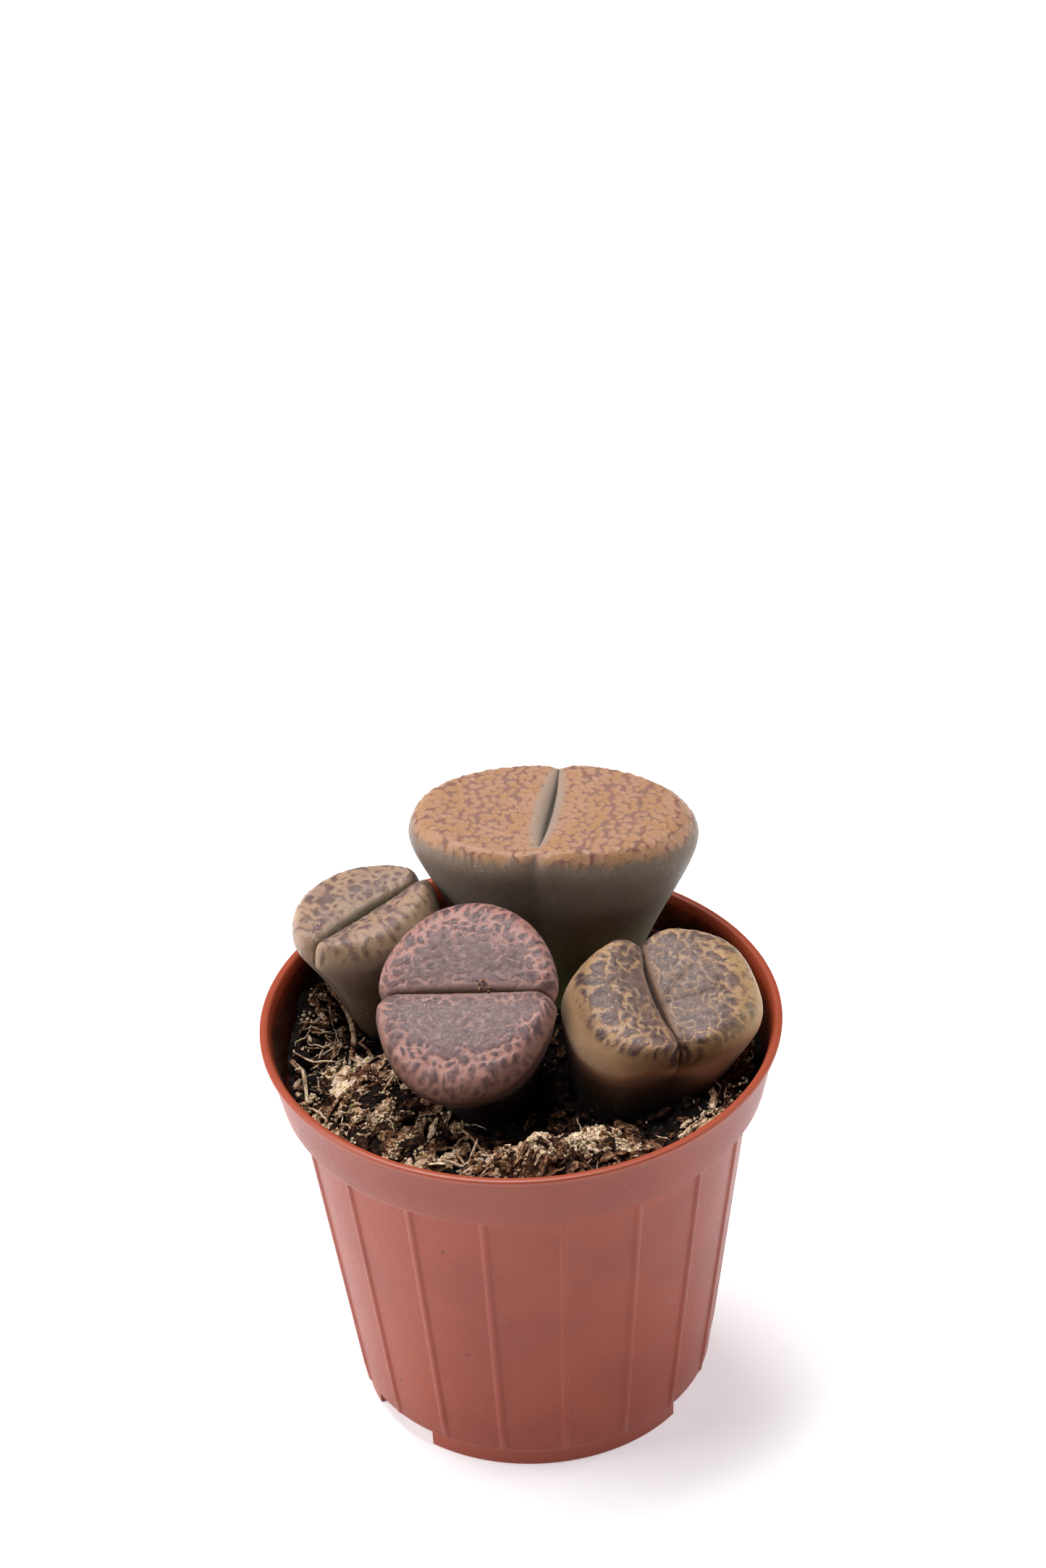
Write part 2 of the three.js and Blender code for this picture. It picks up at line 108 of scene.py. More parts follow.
SOIL_LEVEL = 40.0
SOIL_SLOPE = (0.045, 0.035)
SOIL_RADIUS = 24.9
SOIL_STEPS = 190
SEAT_GAP = 0.15
CRUST = Record(start=-26, end=42, middle=9, crest=18.2, outer=24.4, inner=14.0, thick=4.8, steps=(150, 56))
DRIFT = Record(angle=-117, spread=20, high=2.8, start=18.5, end=25.0)
LITTER_REACH = 24.3
NECK_CLEARANCE = 1.08

# Hollows of the soil: place, size, depth
HOLLOWS = ((-1.5, -11.5, 7.0, 1.5), (10.0, -9.5, 7.0, 1.3))

# Domes that roughen the soil and the crust: a seed, how far apart, how high
CRUMBS = ((61, 3.2, 1.0), (62, 1.5, 0.6), (63, 0.7, 0.3))
CAKE_LUMPS = ((95, 2.3, 0.5), (96, 1.1, 0.3), (97, 0.5, 0.16))

# Bark: count, angles and radii of the plan, lengths, half widths, heading and its spread, tints to choose
# from, and how many grains are caked on every third chip
HEAP_TINTS = (0.1, 0.2, 0.34, 0.44, 0.54, 0.62, 0.7, 0.8)
DARK_TINTS = (0.05, 0.1, 0.15, 0.2, 0.3, 0.4)
BARK = (
    (140, (-88, -26), (11, 23.8), (1.6, 4.6), (0.35, 0.8), 48, 26, HEAP_TINTS, 26),
    (60, (-130, -84), (14, 24), (1.2, 3.2), (0.2, 0.45), 90, 60, HEAP_TINTS, 0),
    (50, (40, 102), (20.5, 24), (1.4, 4.2), (0.25, 0.5), 60, 40, (0.2, 0.3, 0.5, 0.65), 0),
    (300, (-180, 180), (2, 24), (1.0, 3.0), (0.3, 0.7), 0, 180, DARK_TINTS, 0),
)

# Grit: count, angles and radii of the plan, radii of the grains, range of tints, height over the soil
GRIT = (
    (1700, (-180, 180), (1, 24.2), (0.18, 0.5), (0.0, 0.25), (0.0, 0.3)),
    (160, (-180, 180), (8, 24.2), (0.08, 0.2), (0.5, 0.86), (0.05, 0.3)),
    (170, (-112, -40), (15, 23.5), (0.1, 0.26), (0.7, 1.0), (0.1, 0.6)),
    (80, (-124, -106), (21, 24.4), (0.1, 0.34), (0.6, 1.0), (0.2, 1.0)),
    (150, (44, 100), (21.5, 24.3), (0.14, 0.32), (0.6, 0.86), (0.2, 1.0)),
)

# Fibres strewn about: count, angles and radii of the plan, lengths, half widths, range of tints
FIBRES = (
    (70, (-135, -30), (13, 24), (2.0, 6.0), (0.05, 0.1), (0.45, 0.8)),
    (34, (-125, -92), (20, 24), (2.0, 5.0), (0.06, 0.14), (0.5, 0.8)),
    (30, (36, 110), (20, 24), (2.0, 5.0), (0.05, 0.11), (0.4, 0.8)),
    (50, (-180, 180), (4, 24), (2.0, 5.0), (0.05, 0.1), (0.3, 0.7)),
)

# Rootlets placed one by one: corners as x, y and height over the soil, half a width, tint
ROOTLETS = (
    (((-20.6, 11.8, 0.6), (-19.6, 10.2, 1.3), (-18.2, 7.8, 1.5), (-17.8, 4.6, 1.2), (-18.3, 1.4, 0.5)),
     0.32, 0.62),
    (((-24.2, 2.0, 1.6), (-22.3, 1.0, 1.3), (-20.8, 1.2, 1.2), (-19.2, 1.6, 0.7)), 0.13, 0.74),
    (((-19.2, 0.3, 0.7), (-18.5, -0.3, 1.4), (-18.3, -1.6, 1.3), (-18.6, -2.6, 0.5)), 0.12, 0.42),
    (((-21.8, 6.2, 0.5), (-20.4, 7.2, 1.2), (-19.6, 8.2, 1.6)), 0.14, 0.42),
    (((-24.0, -0.3, 1.4), (-23.2, -1.0, 2.0), (-22.9, -3.0, 1.6), (-22.8, -5.6, 0.6)), 0.24, 0.7),
    (((-22.9, -5.9, 1.2), (-21.8, -7.0, 1.5), (-20.6, -8.2, 1.1)), 0.16, 0.72),
    (((-18.3, -2.9, 1.0), (-19.6, -5.4, 1.4), (-20.6, -7.6, 1.2), (-21.1, -9.6, 0.7)), 0.2, 0.5),
    (((-12.4, -1.2, 2.4), (-13.6, -2.6, 1.8), (-14.8, -4.2, 1.1)), 0.15, 0.6),
    (((-6.6, -11.4, 2.0), (-5.6, -12.4, 1.8), (-4.6, -13.6, 1.0)), 0.16, 0.6),
    (((14.5, -19.2, 1.6), (17.4, -16.6, 2.2), (20.4, -13.2, 2.2)), 0.5, 0.5),
)

# Fans of stalks: centre, count, lengths, half a width, rise
FANS = (
    ((-6.2, -16.6), 10, (1.0, 3.2), 0.15, 0.6),
    ((-17.0, 1.3), 5, (0.9, 1.7), 0.34, 0.4),
    ((-5.0, -18.8), 8, (1.0, 2.4), 0.2, 0.6),
)

# Crumbs on the front plant: places on its face, and how many grains each has
FACE_CRUMBS = ((0.9, -1.7, 0.1), (0.6, -2.3, 0.1))
CRUMB_GRAINS = 9

# Grains of the crust before they are thinned, and its chips: count, radii, lengths, half widths, tints, pitch
CRUST_GRAINS = 2400
CRUST_CHIPS = (
    (110, (18.8, 23.4), (1.0, 2.6), (0.3, 0.7), (0.18, 0.48), 0.9),
    (50, (14.5, 20), (0.8, 1.8), (0.25, 0.5), (0.2, 0.55), 0.5),
    (70, (14.5, 22), (1.4, 3.4), (0.06, 0.14), (0.55, 0.75), 0.5),
)


# Numbers

def ease(t):
    t = np.clip(t, 0, 1)
    return t * t * (3 - 2 * t)


def steps(count, first=0):
    """Even steps from 0 towards 1 as a column: without the end, or without the start if `first` is 1."""
    return (np.arange(count)[:, None] + first) / count


def soft_min(limit, value):
    """The smaller of two positive numbers, rounded where they cross."""
    return (limit ** -4.0 + np.maximum(value, 1e-6) ** -4.0) ** -0.25


def soft_max(a, b, width):
    """The larger of two fields, rounded where they cross."""
    mix = np.clip(0.5 + 0.5 * (a - b) / width, 0, 1)
    return b + (a - b) * mix + width * mix * (1 - mix)


def bell(x, width):
    return np.exp(-((x / width) ** 2))


def hashed(seed, grid):
    """A repeatable number from 0 to 1 for each cell of a grid."""
    state = np.full(grid.shape[:-1], 2654435761 + 40503 * seed, dtype=np.uint64)
    for axis in range(grid.shape[-1]):
        state ^= grid[..., axis].astype(np.int64).astype(np.uint64) + np.uint64(0x9E3779B97F4A7C15)
        state *= np.uint64(0xBF58476D1CE4E5B9)
        state ^= state >> np.uint64(29)
        state *= np.uint64(0x94D049BB133111EB)
        state ^= state >> np.uint64(32)
    return (state >> np.uint64(40)) / float(2 ** 24)


def noise(seed, points, size):
    """Gradient noise, roughly from -1 to 1, whose cells are `size` wide."""
    place = points / size
    low = np.floor(place)
    part = place - low
    fade = part ** 3 * (part * (part * 6 - 15) + 10)
    total = 0
    for corner in product((0, 1), repeat=points.shape[-1]):
        weight = np.prod(np.where(corner, fade, 1 - fade), axis=-1)
        for axis, side in enumerate(corner):
            slope = 2 * hashed(seed + 101 * axis, low + corner) - 1
            total = total + 1.7 * weight * slope * (part[..., axis] - side)
    return total


def layered(seed, points, size):
    """Noise with a finer layer over it."""
    return (noise(seed, points, size) + 0.5 * noise(seed + 17, points, 0.5 * size)) / 1.5


def cells(seed, points, size, jitter):
    """The nearest two seeds of a jittered honeycomb: their distances, the way to the nearest, the number of
    each, and one for the pair."""
    place = points[..., None, :] / size
    cell = np.floor(place) + list(product(range(-2, 3), repeat=2))
    stagger = 0.5 * np.mod(cell[..., 1], 2)
    cx = cell[..., 0] + 0.25 + stagger + jitter * (hashed(seed, cell) - 0.5)
    cy = cell[..., 1] + 0.5 + jitter * (hashed(seed + 5, cell) - 0.5)
    way = np.stack([cx, cy], -1) - place
    far = np.linalg.norm(way, axis=-1)
    order = np.argsort(far, axis=-1, kind="stable")[..., :2]
    first, second = np.moveaxis(size * np.take_along_axis(far, order, -1), -1, 0)
    number, other = np.moveaxis(np.take_along_axis(hashed(seed + 9, cell), order, -1), -1, 0)
    towards = size * np.take_along_axis(way, order[..., :1, None], -2)[..., 0, :]
    return Record(first=first, second=second, towards=towards, number=number, other=other,
                  pair=np.mod(number + other, 1.0))


def warped(seed, plane, *amounts):
    """The plane pushed about by noise; each amount is a pair of reach and size in millimetres."""
    moved = plane.copy()
    for k, (reach, size) in enumerate(amounts):
        for axis in (0, 1):
            moved[..., axis] += reach * noise(seed + 2 * k + axis, plane, size)
    return moved


def line_distance(points, path):
    """Distance from each point of the plane to a broken line."""
    best = np.full(points.shape[:-1], 1e9)
    for a, b in zip(np.array(path[:-1]), np.array(path[1:])):
        along = np.clip(((points - a) @ (b - a)) / ((b - a) @ (b - a)), 0, 1)
        best = np.minimum(best, np.linalg.norm(points - a - along[..., None] * (b - a), axis=-1))
    return best


def plan(angle, radius):
    """A point of the plan, from a compass angle that starts at the front (-Y) and turns towards +X."""
    turn = np.radians(angle)
    return np.stack([radius * np.sin(turn), -radius * np.cos(turn)], -1)


def polar(x, y):
    """The compass angle and the radius of a point of the plan."""
    return np.degrees(np.arctan2(x, -y)), np.hypot(x, y)


# Meshes

def make_mesh(name, points, faces, fields=None, smooth=True):
    """A mesh from points in millimetres and arrays of three- or four-cornered faces. Unused points are left
    out."""
    used = np.unique(np.concatenate([kind.ravel() for kind in faces]))
    number = np.zeros(len(points), dtype=int)
    number[used] = np.arange(len(used))
    corners = [face for kind in faces for face in number[kind].tolist()]
    mesh = bpy.data.meshes.new(name)
    mesh.from_pydata(points[used] * MM, [], corners, shade_flat=False)
    mesh.polygons.foreach_set("use_smooth", np.full(len(mesh.polygons), smooth))
    for key, values in (fields or {}).items():
        values = np.asarray(values, dtype=np.float32).reshape(len(points), -1)[used]
        kind, part = ("FLOAT", "value") if values.shape[1] == 1 else ("FLOAT_VECTOR", "vector")
        mesh.attributes.new(key, kind, "POINT").data.foreach_set(part, values.ravel())
    return mesh


def put(name, data):
    """A new object in the scene."""
    made = bpy.data.objects.new(name, data)
    bpy.context.scene.collection.objects.link(made)
    return made


def add_piece(mesh, material, node):
    piece = put(mesh.name, mesh)
    mesh.materials.append(material)
    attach(piece, "root")
    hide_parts(node)
    return piece


def grid_faces(index, closed=True):
    """Quads between the rows of an index grid, going round if it is closed."""
    if closed:
        index = np.concatenate([index, index[:, :1]], axis=1)
    quads = np.stack([index[:-1, :-1], index[1:, :-1], index[1:, 1:], index[:-1, 1:]], -1)
    return quads.reshape(-1, 4)


def grid_edge(index):
    """The corners round an index grid."""
    return np.concatenate([index[0, :-1], index[:-1, -1], index[-1, :0:-1], index[:0:-1, 0]])


def fan_faces(ring, centre):
    """Triangles between a ring of corners and one more."""
    return np.stack([ring, np.full(len(ring), centre), np.roll(ring, -1)], -1)


def grid_normals(points):
    """Outward normals of rings that run down a body, anticlockwise seen from above."""
    around = np.roll(points, -1, axis=1) - np.roll(points, 1, axis=1)
    normal = np.cross(np.gradient(points, axis=0), around)
    return normal / np.maximum(np.linalg.norm(normal, axis=-1, keepdims=True), 1e-9)


# Materials

def paint(red, green, blue, light=0.6):
    """A linear colour from the red, green and blue of 0 to 255 that it shows under the studio light."""
    shown = np.array([red, green, blue]) / 255
    linear = np.where(shown <= 0.04045, shown / 12.92, ((shown + 0.055) / 1.055) ** 2.4)
    return (*(light * linear), 1.0)


# Linear colours that are laid over the others
BLACK = (0, 0, 0, 1)
WHITE = (1, 1, 1, 1)
DUST = (0.75, 0.72, 0.66, 1)
PORE = (0.008, 0.005, 0.003, 1)
CAKE_PORE = (0.012, 0.008, 0.005, 1)


class Nodes:
    """The nodes of a material or a world: most methods add a node and give its output."""

    def __init__(self, owner):
        owner.use_nodes = True
        self.tree = owner.node_tree

    def feed(self, socket, value):
        if isinstance(value, bpy.types.NodeSocket):
            self.tree.links.new(value, socket)
        else:
            socket.default_value = value

    def node(self, kind, inputs, output=0, **settings):
        made = self.tree.nodes.new(kind)
        for key, value in settings.items():
            setattr(made, key, value)
        for key, value in inputs.items():
            self.feed(made.inputs[key], value)
        return made.outputs[output]

    def step(self, value, low, high, start=0.0, end=1.0):
        """Rises smoothly from start to end while the value goes from low to high."""
        inputs = {0: value, 1: low, 2: high, 3: start, 4: end}
        return self.node("ShaderNodeMapRange", inputs, interpolation_type="SMOOTHSTEP")


class Finish(Nodes):
    """A material under construction, laid out by the place on the object."""

    def __init__(self, name, **values):
        self.material = bpy.data.materials.new(name)
        super().__init__(self.material)
        self.place = self.node("ShaderNodeTexCoord", {}, "Object")
        self.give(**values)

    def give(self, **values):
        """Feeds the shader's sockets, named with _ for a space, and gives the material."""
        for socket, value in values.items():
            self.feed(self.tree.nodes["Principled BSDF"].inputs[socket.replace("_", " ")], value)
        return self.material

    def field(self, name, output="Fac"):
        return self.node("ShaderNodeAttribute", {}, output, attribute_name=name)

    def math(self, operation, a, b=0.0):
        return self.node("ShaderNodeMath", {0: a, 1: b}, operation=operation)

    def plus(self, a, b):
        return self.math("ADD", a, b)

    def minus(self, a, b):
        return self.math("SUBTRACT", a, b)

    def times(self, a, b):
        return self.math("MULTIPLY", a, b)

    def mix(self, a, b, amount):
        return self.node("ShaderNodeMix", {0: amount, 6: a, 7: b}, 2, data_type="RGBA")

    def blend(self, a, b, value, low, high, share=1.0):
        """Turns from a to b, or by a share of the way, while the value goes from low to high."""
        return self.mix(a, b, self.step(value, low, high, 0.0, share))

    def ramp(self, value, stops):
        made = self.tree.nodes.new("ShaderNodeValToRGB")
        bar = made.color_ramp
        while len(bar.elements) < len(stops):
            bar.elements.new(0.5)
        for element, (position, colour) in zip(bar.elements, stops):
            element.position = position
            element.color = colour
        self.feed(made.inputs[0], value)
        return made.outputs[0]

    def stretch(self, *scale):
        """The place on the object, pulled along its axes."""
        return self.node("ShaderNodeMapping", {"Vector": self.place, "Scale": scale})

    def axes(self):
        """The place on the object along x, y and z, in millimetres."""
        place = self.stretch(1 / MM, 1 / MM, 1 / MM)
        return [self.node("ShaderNodeSeparateXYZ", {0: place}, axis) for axis in "XYZ"]

    def noise(self, size, detail=2.0, rough=0.5, where=None):
        """Noise from 0 to 1 with features about `size` millimetres wide."""
        scale = 1 / (size * MM)
        inputs = {"Vector": where or self.place, "Scale": scale, "Detail": detail, "Roughness": rough}
        return self.node("ShaderNodeTexNoise", inputs)

    def dots(self, spacing, radius):
        """1 in dots of the given radius, strewn about as far apart as the spacing."""
        inputs = {"Vector": self.place, "Scale": 1 / (spacing * MM)}
        distance = self.node("ShaderNodeTexVoronoi", inputs, "Distance")
        return self.step(distance, 1.15 * radius / spacing, 0.85 * radius / spacing)

    def bumps(self, *layers):
        """Bumps over each other, the last one undermost: heights from 0 to 1, and what they stand for in
        millimetres."""
        inputs = {"Strength": 1.0}
        for height, distance in reversed(layers):
            normal = self.node("ShaderNodeBump", {**inputs, "Distance": distance * MM, "Height": height})
            inputs["Normal"] = normal
        return normal


# Plants

def face_frame(tilt, toward, turn):
    """Columns: across to the right leaf, along the fissure, and out of the face."""
    lean, way, spin = np.radians([tilt, toward, turn])
    axis = Vector((-math.sin(way), math.cos(way), 0))
    return np.array(Matrix.Rotation(lean, 3, axis) @ Matrix.Rotation(spin, 3, "Z"))


def side_taper(f):
    """0 at the face's edge and 1 at the soil: a rounded start, then a straight flare that eases off."""
    e = 1.06 * f * f / (f + 0.06)
    return 0.3 * ease(e) + 0.7 * np.sin(0.5 * np.pi * e)


def head_surface(p, count, rows):
    """An upright head as rings from the fissure's floor over the face to the root, with each point's place on
    the skin: `plane` is the face rolled out flat, `along` runs over it from the fissure, `way` points from
    there to the outline, `on_leaf` is 0 where the fissure ends, `past_face` runs down from where the edge
    starts to turn, `edge` is the length of that turn, `past_rim` runs down into the fissure from its edge,
    and `drop` goes from 0 under the edge to 1 at the soil."""
    u = 2 * np.pi * np.arange(count) / count
    nu = u - 0.5 * p.gather * np.sin(2 * u)
    s, c = np.sin(nu), np.cos(nu)
    s[np.abs(s) < 1e-9] = 0

    def sided(right, left):
        return np.where(s >= 0, right, left)

    ox = sided(p.right, p.left) * np.sign(s) * np.abs(s) ** (2 / p.square)
    oy = p.half * np.sign(c) * np.abs(c) ** (2 / p.square)
    fy = p.half * np.where(c > 0, p.reach, p.near_reach) * c
    fx = p.bow * (1 - (fy / p.half) ** 2)
    run = np.hypot(ox - fx, oy - fy)
    ux, uy = (ox - fx) / run, (oy - fy) / run
    middle = 1 - c * c
    opening = sided(p.open_right, p.open_left) * middle ** p.open_power
    floor = p.end_depth + (p.depth - p.end_depth) * middle
    on_leaf = ease(np.abs(s) / 0.4)
    inner = sided(p.round_right, p.round_left) * (p.end_round + (1 - p.end_round) * np.abs(s))
    inner, outer = soft_min(inner, 0.3 * run), soft_min(p.outer_round, 0.6 * run)
    near, far = opening + inner, run - outer

    def face_z(d):
        dome = sided(p.dome_right, p.dome_left) * (1 - (2 * np.clip(d / run, 0, 1) - 1) ** 2)
        return on_leaf * dome - (1 - on_leaf) * p.end_sag

    f = steps(rows.wall)
    parts = [(opening * f ** p.wall_power, (face_z(opening) - inner + floor) * f - floor)]
    t = 0.5 * np.pi * steps(rows.edge)
    d = opening + inner * (1 - np.cos(t))
    parts.append((d, face_z(d) - inner * (1 - np.sin(t))))
    d = near + (far - near) * np.linspace(0, 1, rows.face)[:, None]
    parts.append((d, face_z(d)))
    t = 0.5 * np.pi * steps(rows.turn, 1)
    d = far + outer * np.sin(t)
    parts.append((d, face_z(d) - outer * (1 - np.cos(t))))
    d, z = (np.concatenate(part) for part in zip(*parts))
    top = np.stack([fx + ux * d, fy + uy * d, z], -1)

    f = steps(rows.side, 1)
    size, down = np.array(ROOT_SIZES).T[..., None]
    necks = (p.neck_wide, p.neck_deep)
    wide, deep = [np.concatenate([1 - (1 - neck) * side_taper(f), neck * size]) for neck in necks]
    low = np.concatenate([z[-1] - (p.height + z[-1]) * f, -p.height - down + 0 * ox])
    points = np.concatenate([top, np.stack([ox * wide, oy * deep, low], -1)])

    step = np.linalg.norm(np.diff(points, axis=0), axis=-1)
    length = np.concatenate([np.zeros((1, count)), np.cumsum(step, axis=0)])
    first_face = rows.wall + rows.edge
    last_face = first_face + rows.face - 1
    along = length - length[first_face] + near
    plane = np.stack([fx + ux * along, fy + uy * along], -1)
    turned, soil = length[last_face + rows.turn], length[last_face + rows.turn + rows.side]
    return Record(
        points=points, plane=plane, along=along, on_leaf=on_leaf, past_face=length - length[last_face],
        edge=turned - length[last_face], past_rim=length[first_face] - length,
        drop=np.clip((length - turned) / (soil - turned), 0, 1.2), way=np.stack([ux, uy], -1) + 0 * plane)


def crease(points, p):
    """Rolls the leaves' ends over beside the fissure and cuts the notch and the thin seam that it leaves in
    the outline, fading down the side. Also gives the seam's strength, from 0 to 1."""
    x, y, z = np.moveaxis(points, -1, 0)
    line = x - p.bow * (1 - (y / p.half) ** 2)
    strength = ease((np.abs(y) / p.half - 0.35) / 0.4) * np.exp(np.minimum(z, 0) / p.notch_run)
    seam = bell(line, p.seam_width) * strength
    amount = p.notch * bell(line, p.notch_width) * strength + p.seam * seam
    beyond = np.clip(1 - (p.half - np.abs(y)) / p.roll, 0, 1)
    rolled = p.roll * (1 - np.sqrt(1 - beyond ** 2)) * bell(line, p.roll_width) * ease((z + 7) / 7)
    return np.stack([x, y - np.sign(y) * amount, z - rolled], -1), seam


def bend(points, p):
    """Stands an upright head with its neck straight in the soil and its face looking its own way."""
    face, level = face_frame(p.tilt, p.toward, p.turn), face_frame(0, 0, p.turn)
    base, top, up = np.array(p.base), np.array(p.top), np.array((0, 0, 1))
    length = np.linalg.norm(top - base)
    z = points[..., 2:3]
    s = np.clip((z + p.height) / p.height, 0, 1)
    bent = (2 * s ** 3 - 3 * s ** 2 + 1) * base + (s ** 3 - 2 * s ** 2 + s) * length * up
    bent = bent + (3 * s ** 2 - 2 * s ** 3) * top + (s ** 3 - s ** 2) * length * face[:, 2]
    bent = bent + np.maximum(z, 0) * face[:, 2] + np.minimum(z + p.height, 0) * up
    for axis in (0, 1):
        way = level[:, axis] + (face[:, axis] - level[:, axis]) * ease(s)
        bent = bent + points[..., axis:axis + 1] * way / np.linalg.norm(way, axis=-1, keepdims=True)
    return bent


def pattern_islands(skin, look):
    """Islands of merged round lobes, parted by star-shaped channels that widen in the middle of each leaf."""
    plane = skin.plane
    inside = look.limit * skin.edge - skin.past_face
    middle = ease((inside - 1.5) / 4) * ease((skin.along - 1.6) / 2.5)
    stretch = 0.12 * np.maximum(3.0 - inside, 0)
    place = warped(11, plane - skin.way * stretch[..., None], (0.3, 1.7), (0.18, 0.55))
    net = cells(21, place, 0.82, 0.85)
    disc = 0.49 - 0.1 * middle - 0.06 * noise(31, plane, 3.0) - 0.06 * noise(32, plane, 1.2)
    void = net.first - disc * (0.92 + 0.16 * net.number)
    cleft = 0.06 * ease((net.first - 0.3) / 0.14) - 0.16 * ease((net.pair - 0.35) / 0.1)
    mark = soft_max(void, cleft - 0.5 * (net.second - net.first), 0.04)
    mark = mark - 0.5 * ease((0.15 + skin.past_rim + 0.35 * noise(37, plane, 0.8)) / 0.5)
    centre = inside - np.sum(net.towards * skin.way, -1)
    margin = -(0.75 * centre + 0.25 * inside) + 0.4 * (net.number - 0.5)
    relief = 0.1 * ease(0.5 - mark / 0.2) * ease(0.6 - margin / 1.6) - 0.05
    return dict(mark=mark, margin=margin, window=middle, streak=noise(41, plane, 1.0), tint=0 * mark,
                core=mark - 0.12, relief=relief)


def pattern_blotches(skin, look):
    """Dark spots in the meshes of a pale broken net, drawn out towards the edges, round a plainer window in
    the middle. The four `lines` are half a net line's width, in parts of the meshes' size, at the edge and in
    the middle, and the two depths inside the pattern between which it changes. The window clears between its
    own two depths."""
    plane, way, seed, size = skin.plane, skin.way, look.seed, look.mesh_size
    limit = look.limit + way @ look.limit_slope + look.limit_bulge * np.maximum(0, way @ (0.6, -0.8)) ** 2
    inside = limit - skin.past_face
    pulled = plane - way * (0.42 * np.maximum(3.2 - inside, 0))[..., None]
    place = warped(seed, pulled, (0.4, 1.9), (0.22, 0.6), (0.06, 0.25))
    net = cells(seed + 11, place, size, 0.85)
    edge_width, middle_width, start, end = look.lines
    width = edge_width + (middle_width - edge_width) * ease((inside - start) / (end - start))
    width = width + 0.07 * noise(seed + 14, plane, 1.8) + 0.09 * noise(seed + 12, place, 0.55 * size)
    between = 0.5 * (net.second - net.first)
    width = width - 0.3 * ease((net.pair - 0.72) / 0.1) * bell(4 * between, size)
    core = size * (0.24 + 0.1 * noise(seed + 13, place, 0.5 * size)) - net.first * (0.6 + 0.9 * net.number)
    centre = inside - np.sum(net.towards * way, -1)
    finger = 0.6 * centre + 0.4 * inside + 0.5 * (net.other - 0.5) + 0.3 * noise(seed + 15, pulled, 0.7)
    mark = np.minimum(between - size * width, 0.6 * finger)
    start, end = look.window
    clear = ease((inside - start) / (end - start)) * ease((skin.along - 0.8) / 1.5)
    clear = clear * ease(0.75 + 0.6 * noise(seed + 16, plane, 3.0))
    turn = np.arctan2(plane[..., 1], plane[..., 0])
    streak = noise(seed + 17, np.stack([9 * turn, 0.35 * skin.along], -1), 1.0)
    streak = streak + 0.6 * noise(seed + 18, plane, 0.7)
    groove = 0 * mark
    shifted = warped(seed + 19, plane, (0.12, 0.8))
    for path, wide in look.creases:
        groove = np.maximum(groove, bell(line_distance(shifted, path), wide))
    relief = -0.07 * ease(0.5 + mark / 0.35) * ease(0.5 + inside / 1.5) * (1 - 0.6 * clear)
    relief = relief + 0.05 * streak * clear - 0.14 * groove
    tint = ease(1.6 * (way @ look.tint_way) - 0.4) * ease(1.2 - np.abs(inside - 0.4) / 2.2)
    return dict(mark=mark, margin=-inside, window=clear, streak=streak, groove=groove, tint=tint, core=core,
                relief=relief)


def add_head(node, look):
    p, rows = PLANTS[node], Record(wall=14, edge=10, **look.rows)
    skin = head_surface(p, look.count, rows)
    fields = look.pattern(skin, look)
    creased, seam = crease(skin.points, p)
    points = bend(creased, p)
    relief = fields.pop("relief") + 0.03 * layered(71, skin.plane, 2.4)
    relief = relief * ease(skin.on_leaf * 1.5) * ease(1 - skin.past_rim / 1.2)
    points = points + grid_normals(points) * relief[..., None]
    index = np.arange(points[..., 0].size).reshape(points.shape[:2])
    turn = np.arange(look.count)
    index[0] = np.minimum(turn, look.count - turn)
    tip = bend(np.array([[0.0, 0.0, -p.height - ROOT_SIZES[-1][1] - 1]]), p)
    fields.update(past_rim=skin.past_rim, drop=skin.drop, seam=2 * p.seam * seam)
    fields = {key: np.append(value.ravel(), 0) for key, value in fields.items()}
    faces = [grid_faces(index), fan_faces(index[-1], index.size)]
    mesh = make_mesh("fine_" + node, np.concatenate([points.reshape(-1, 3), tip]), faces, fields)
    return add_piece(mesh, leaf_finish(look), node)


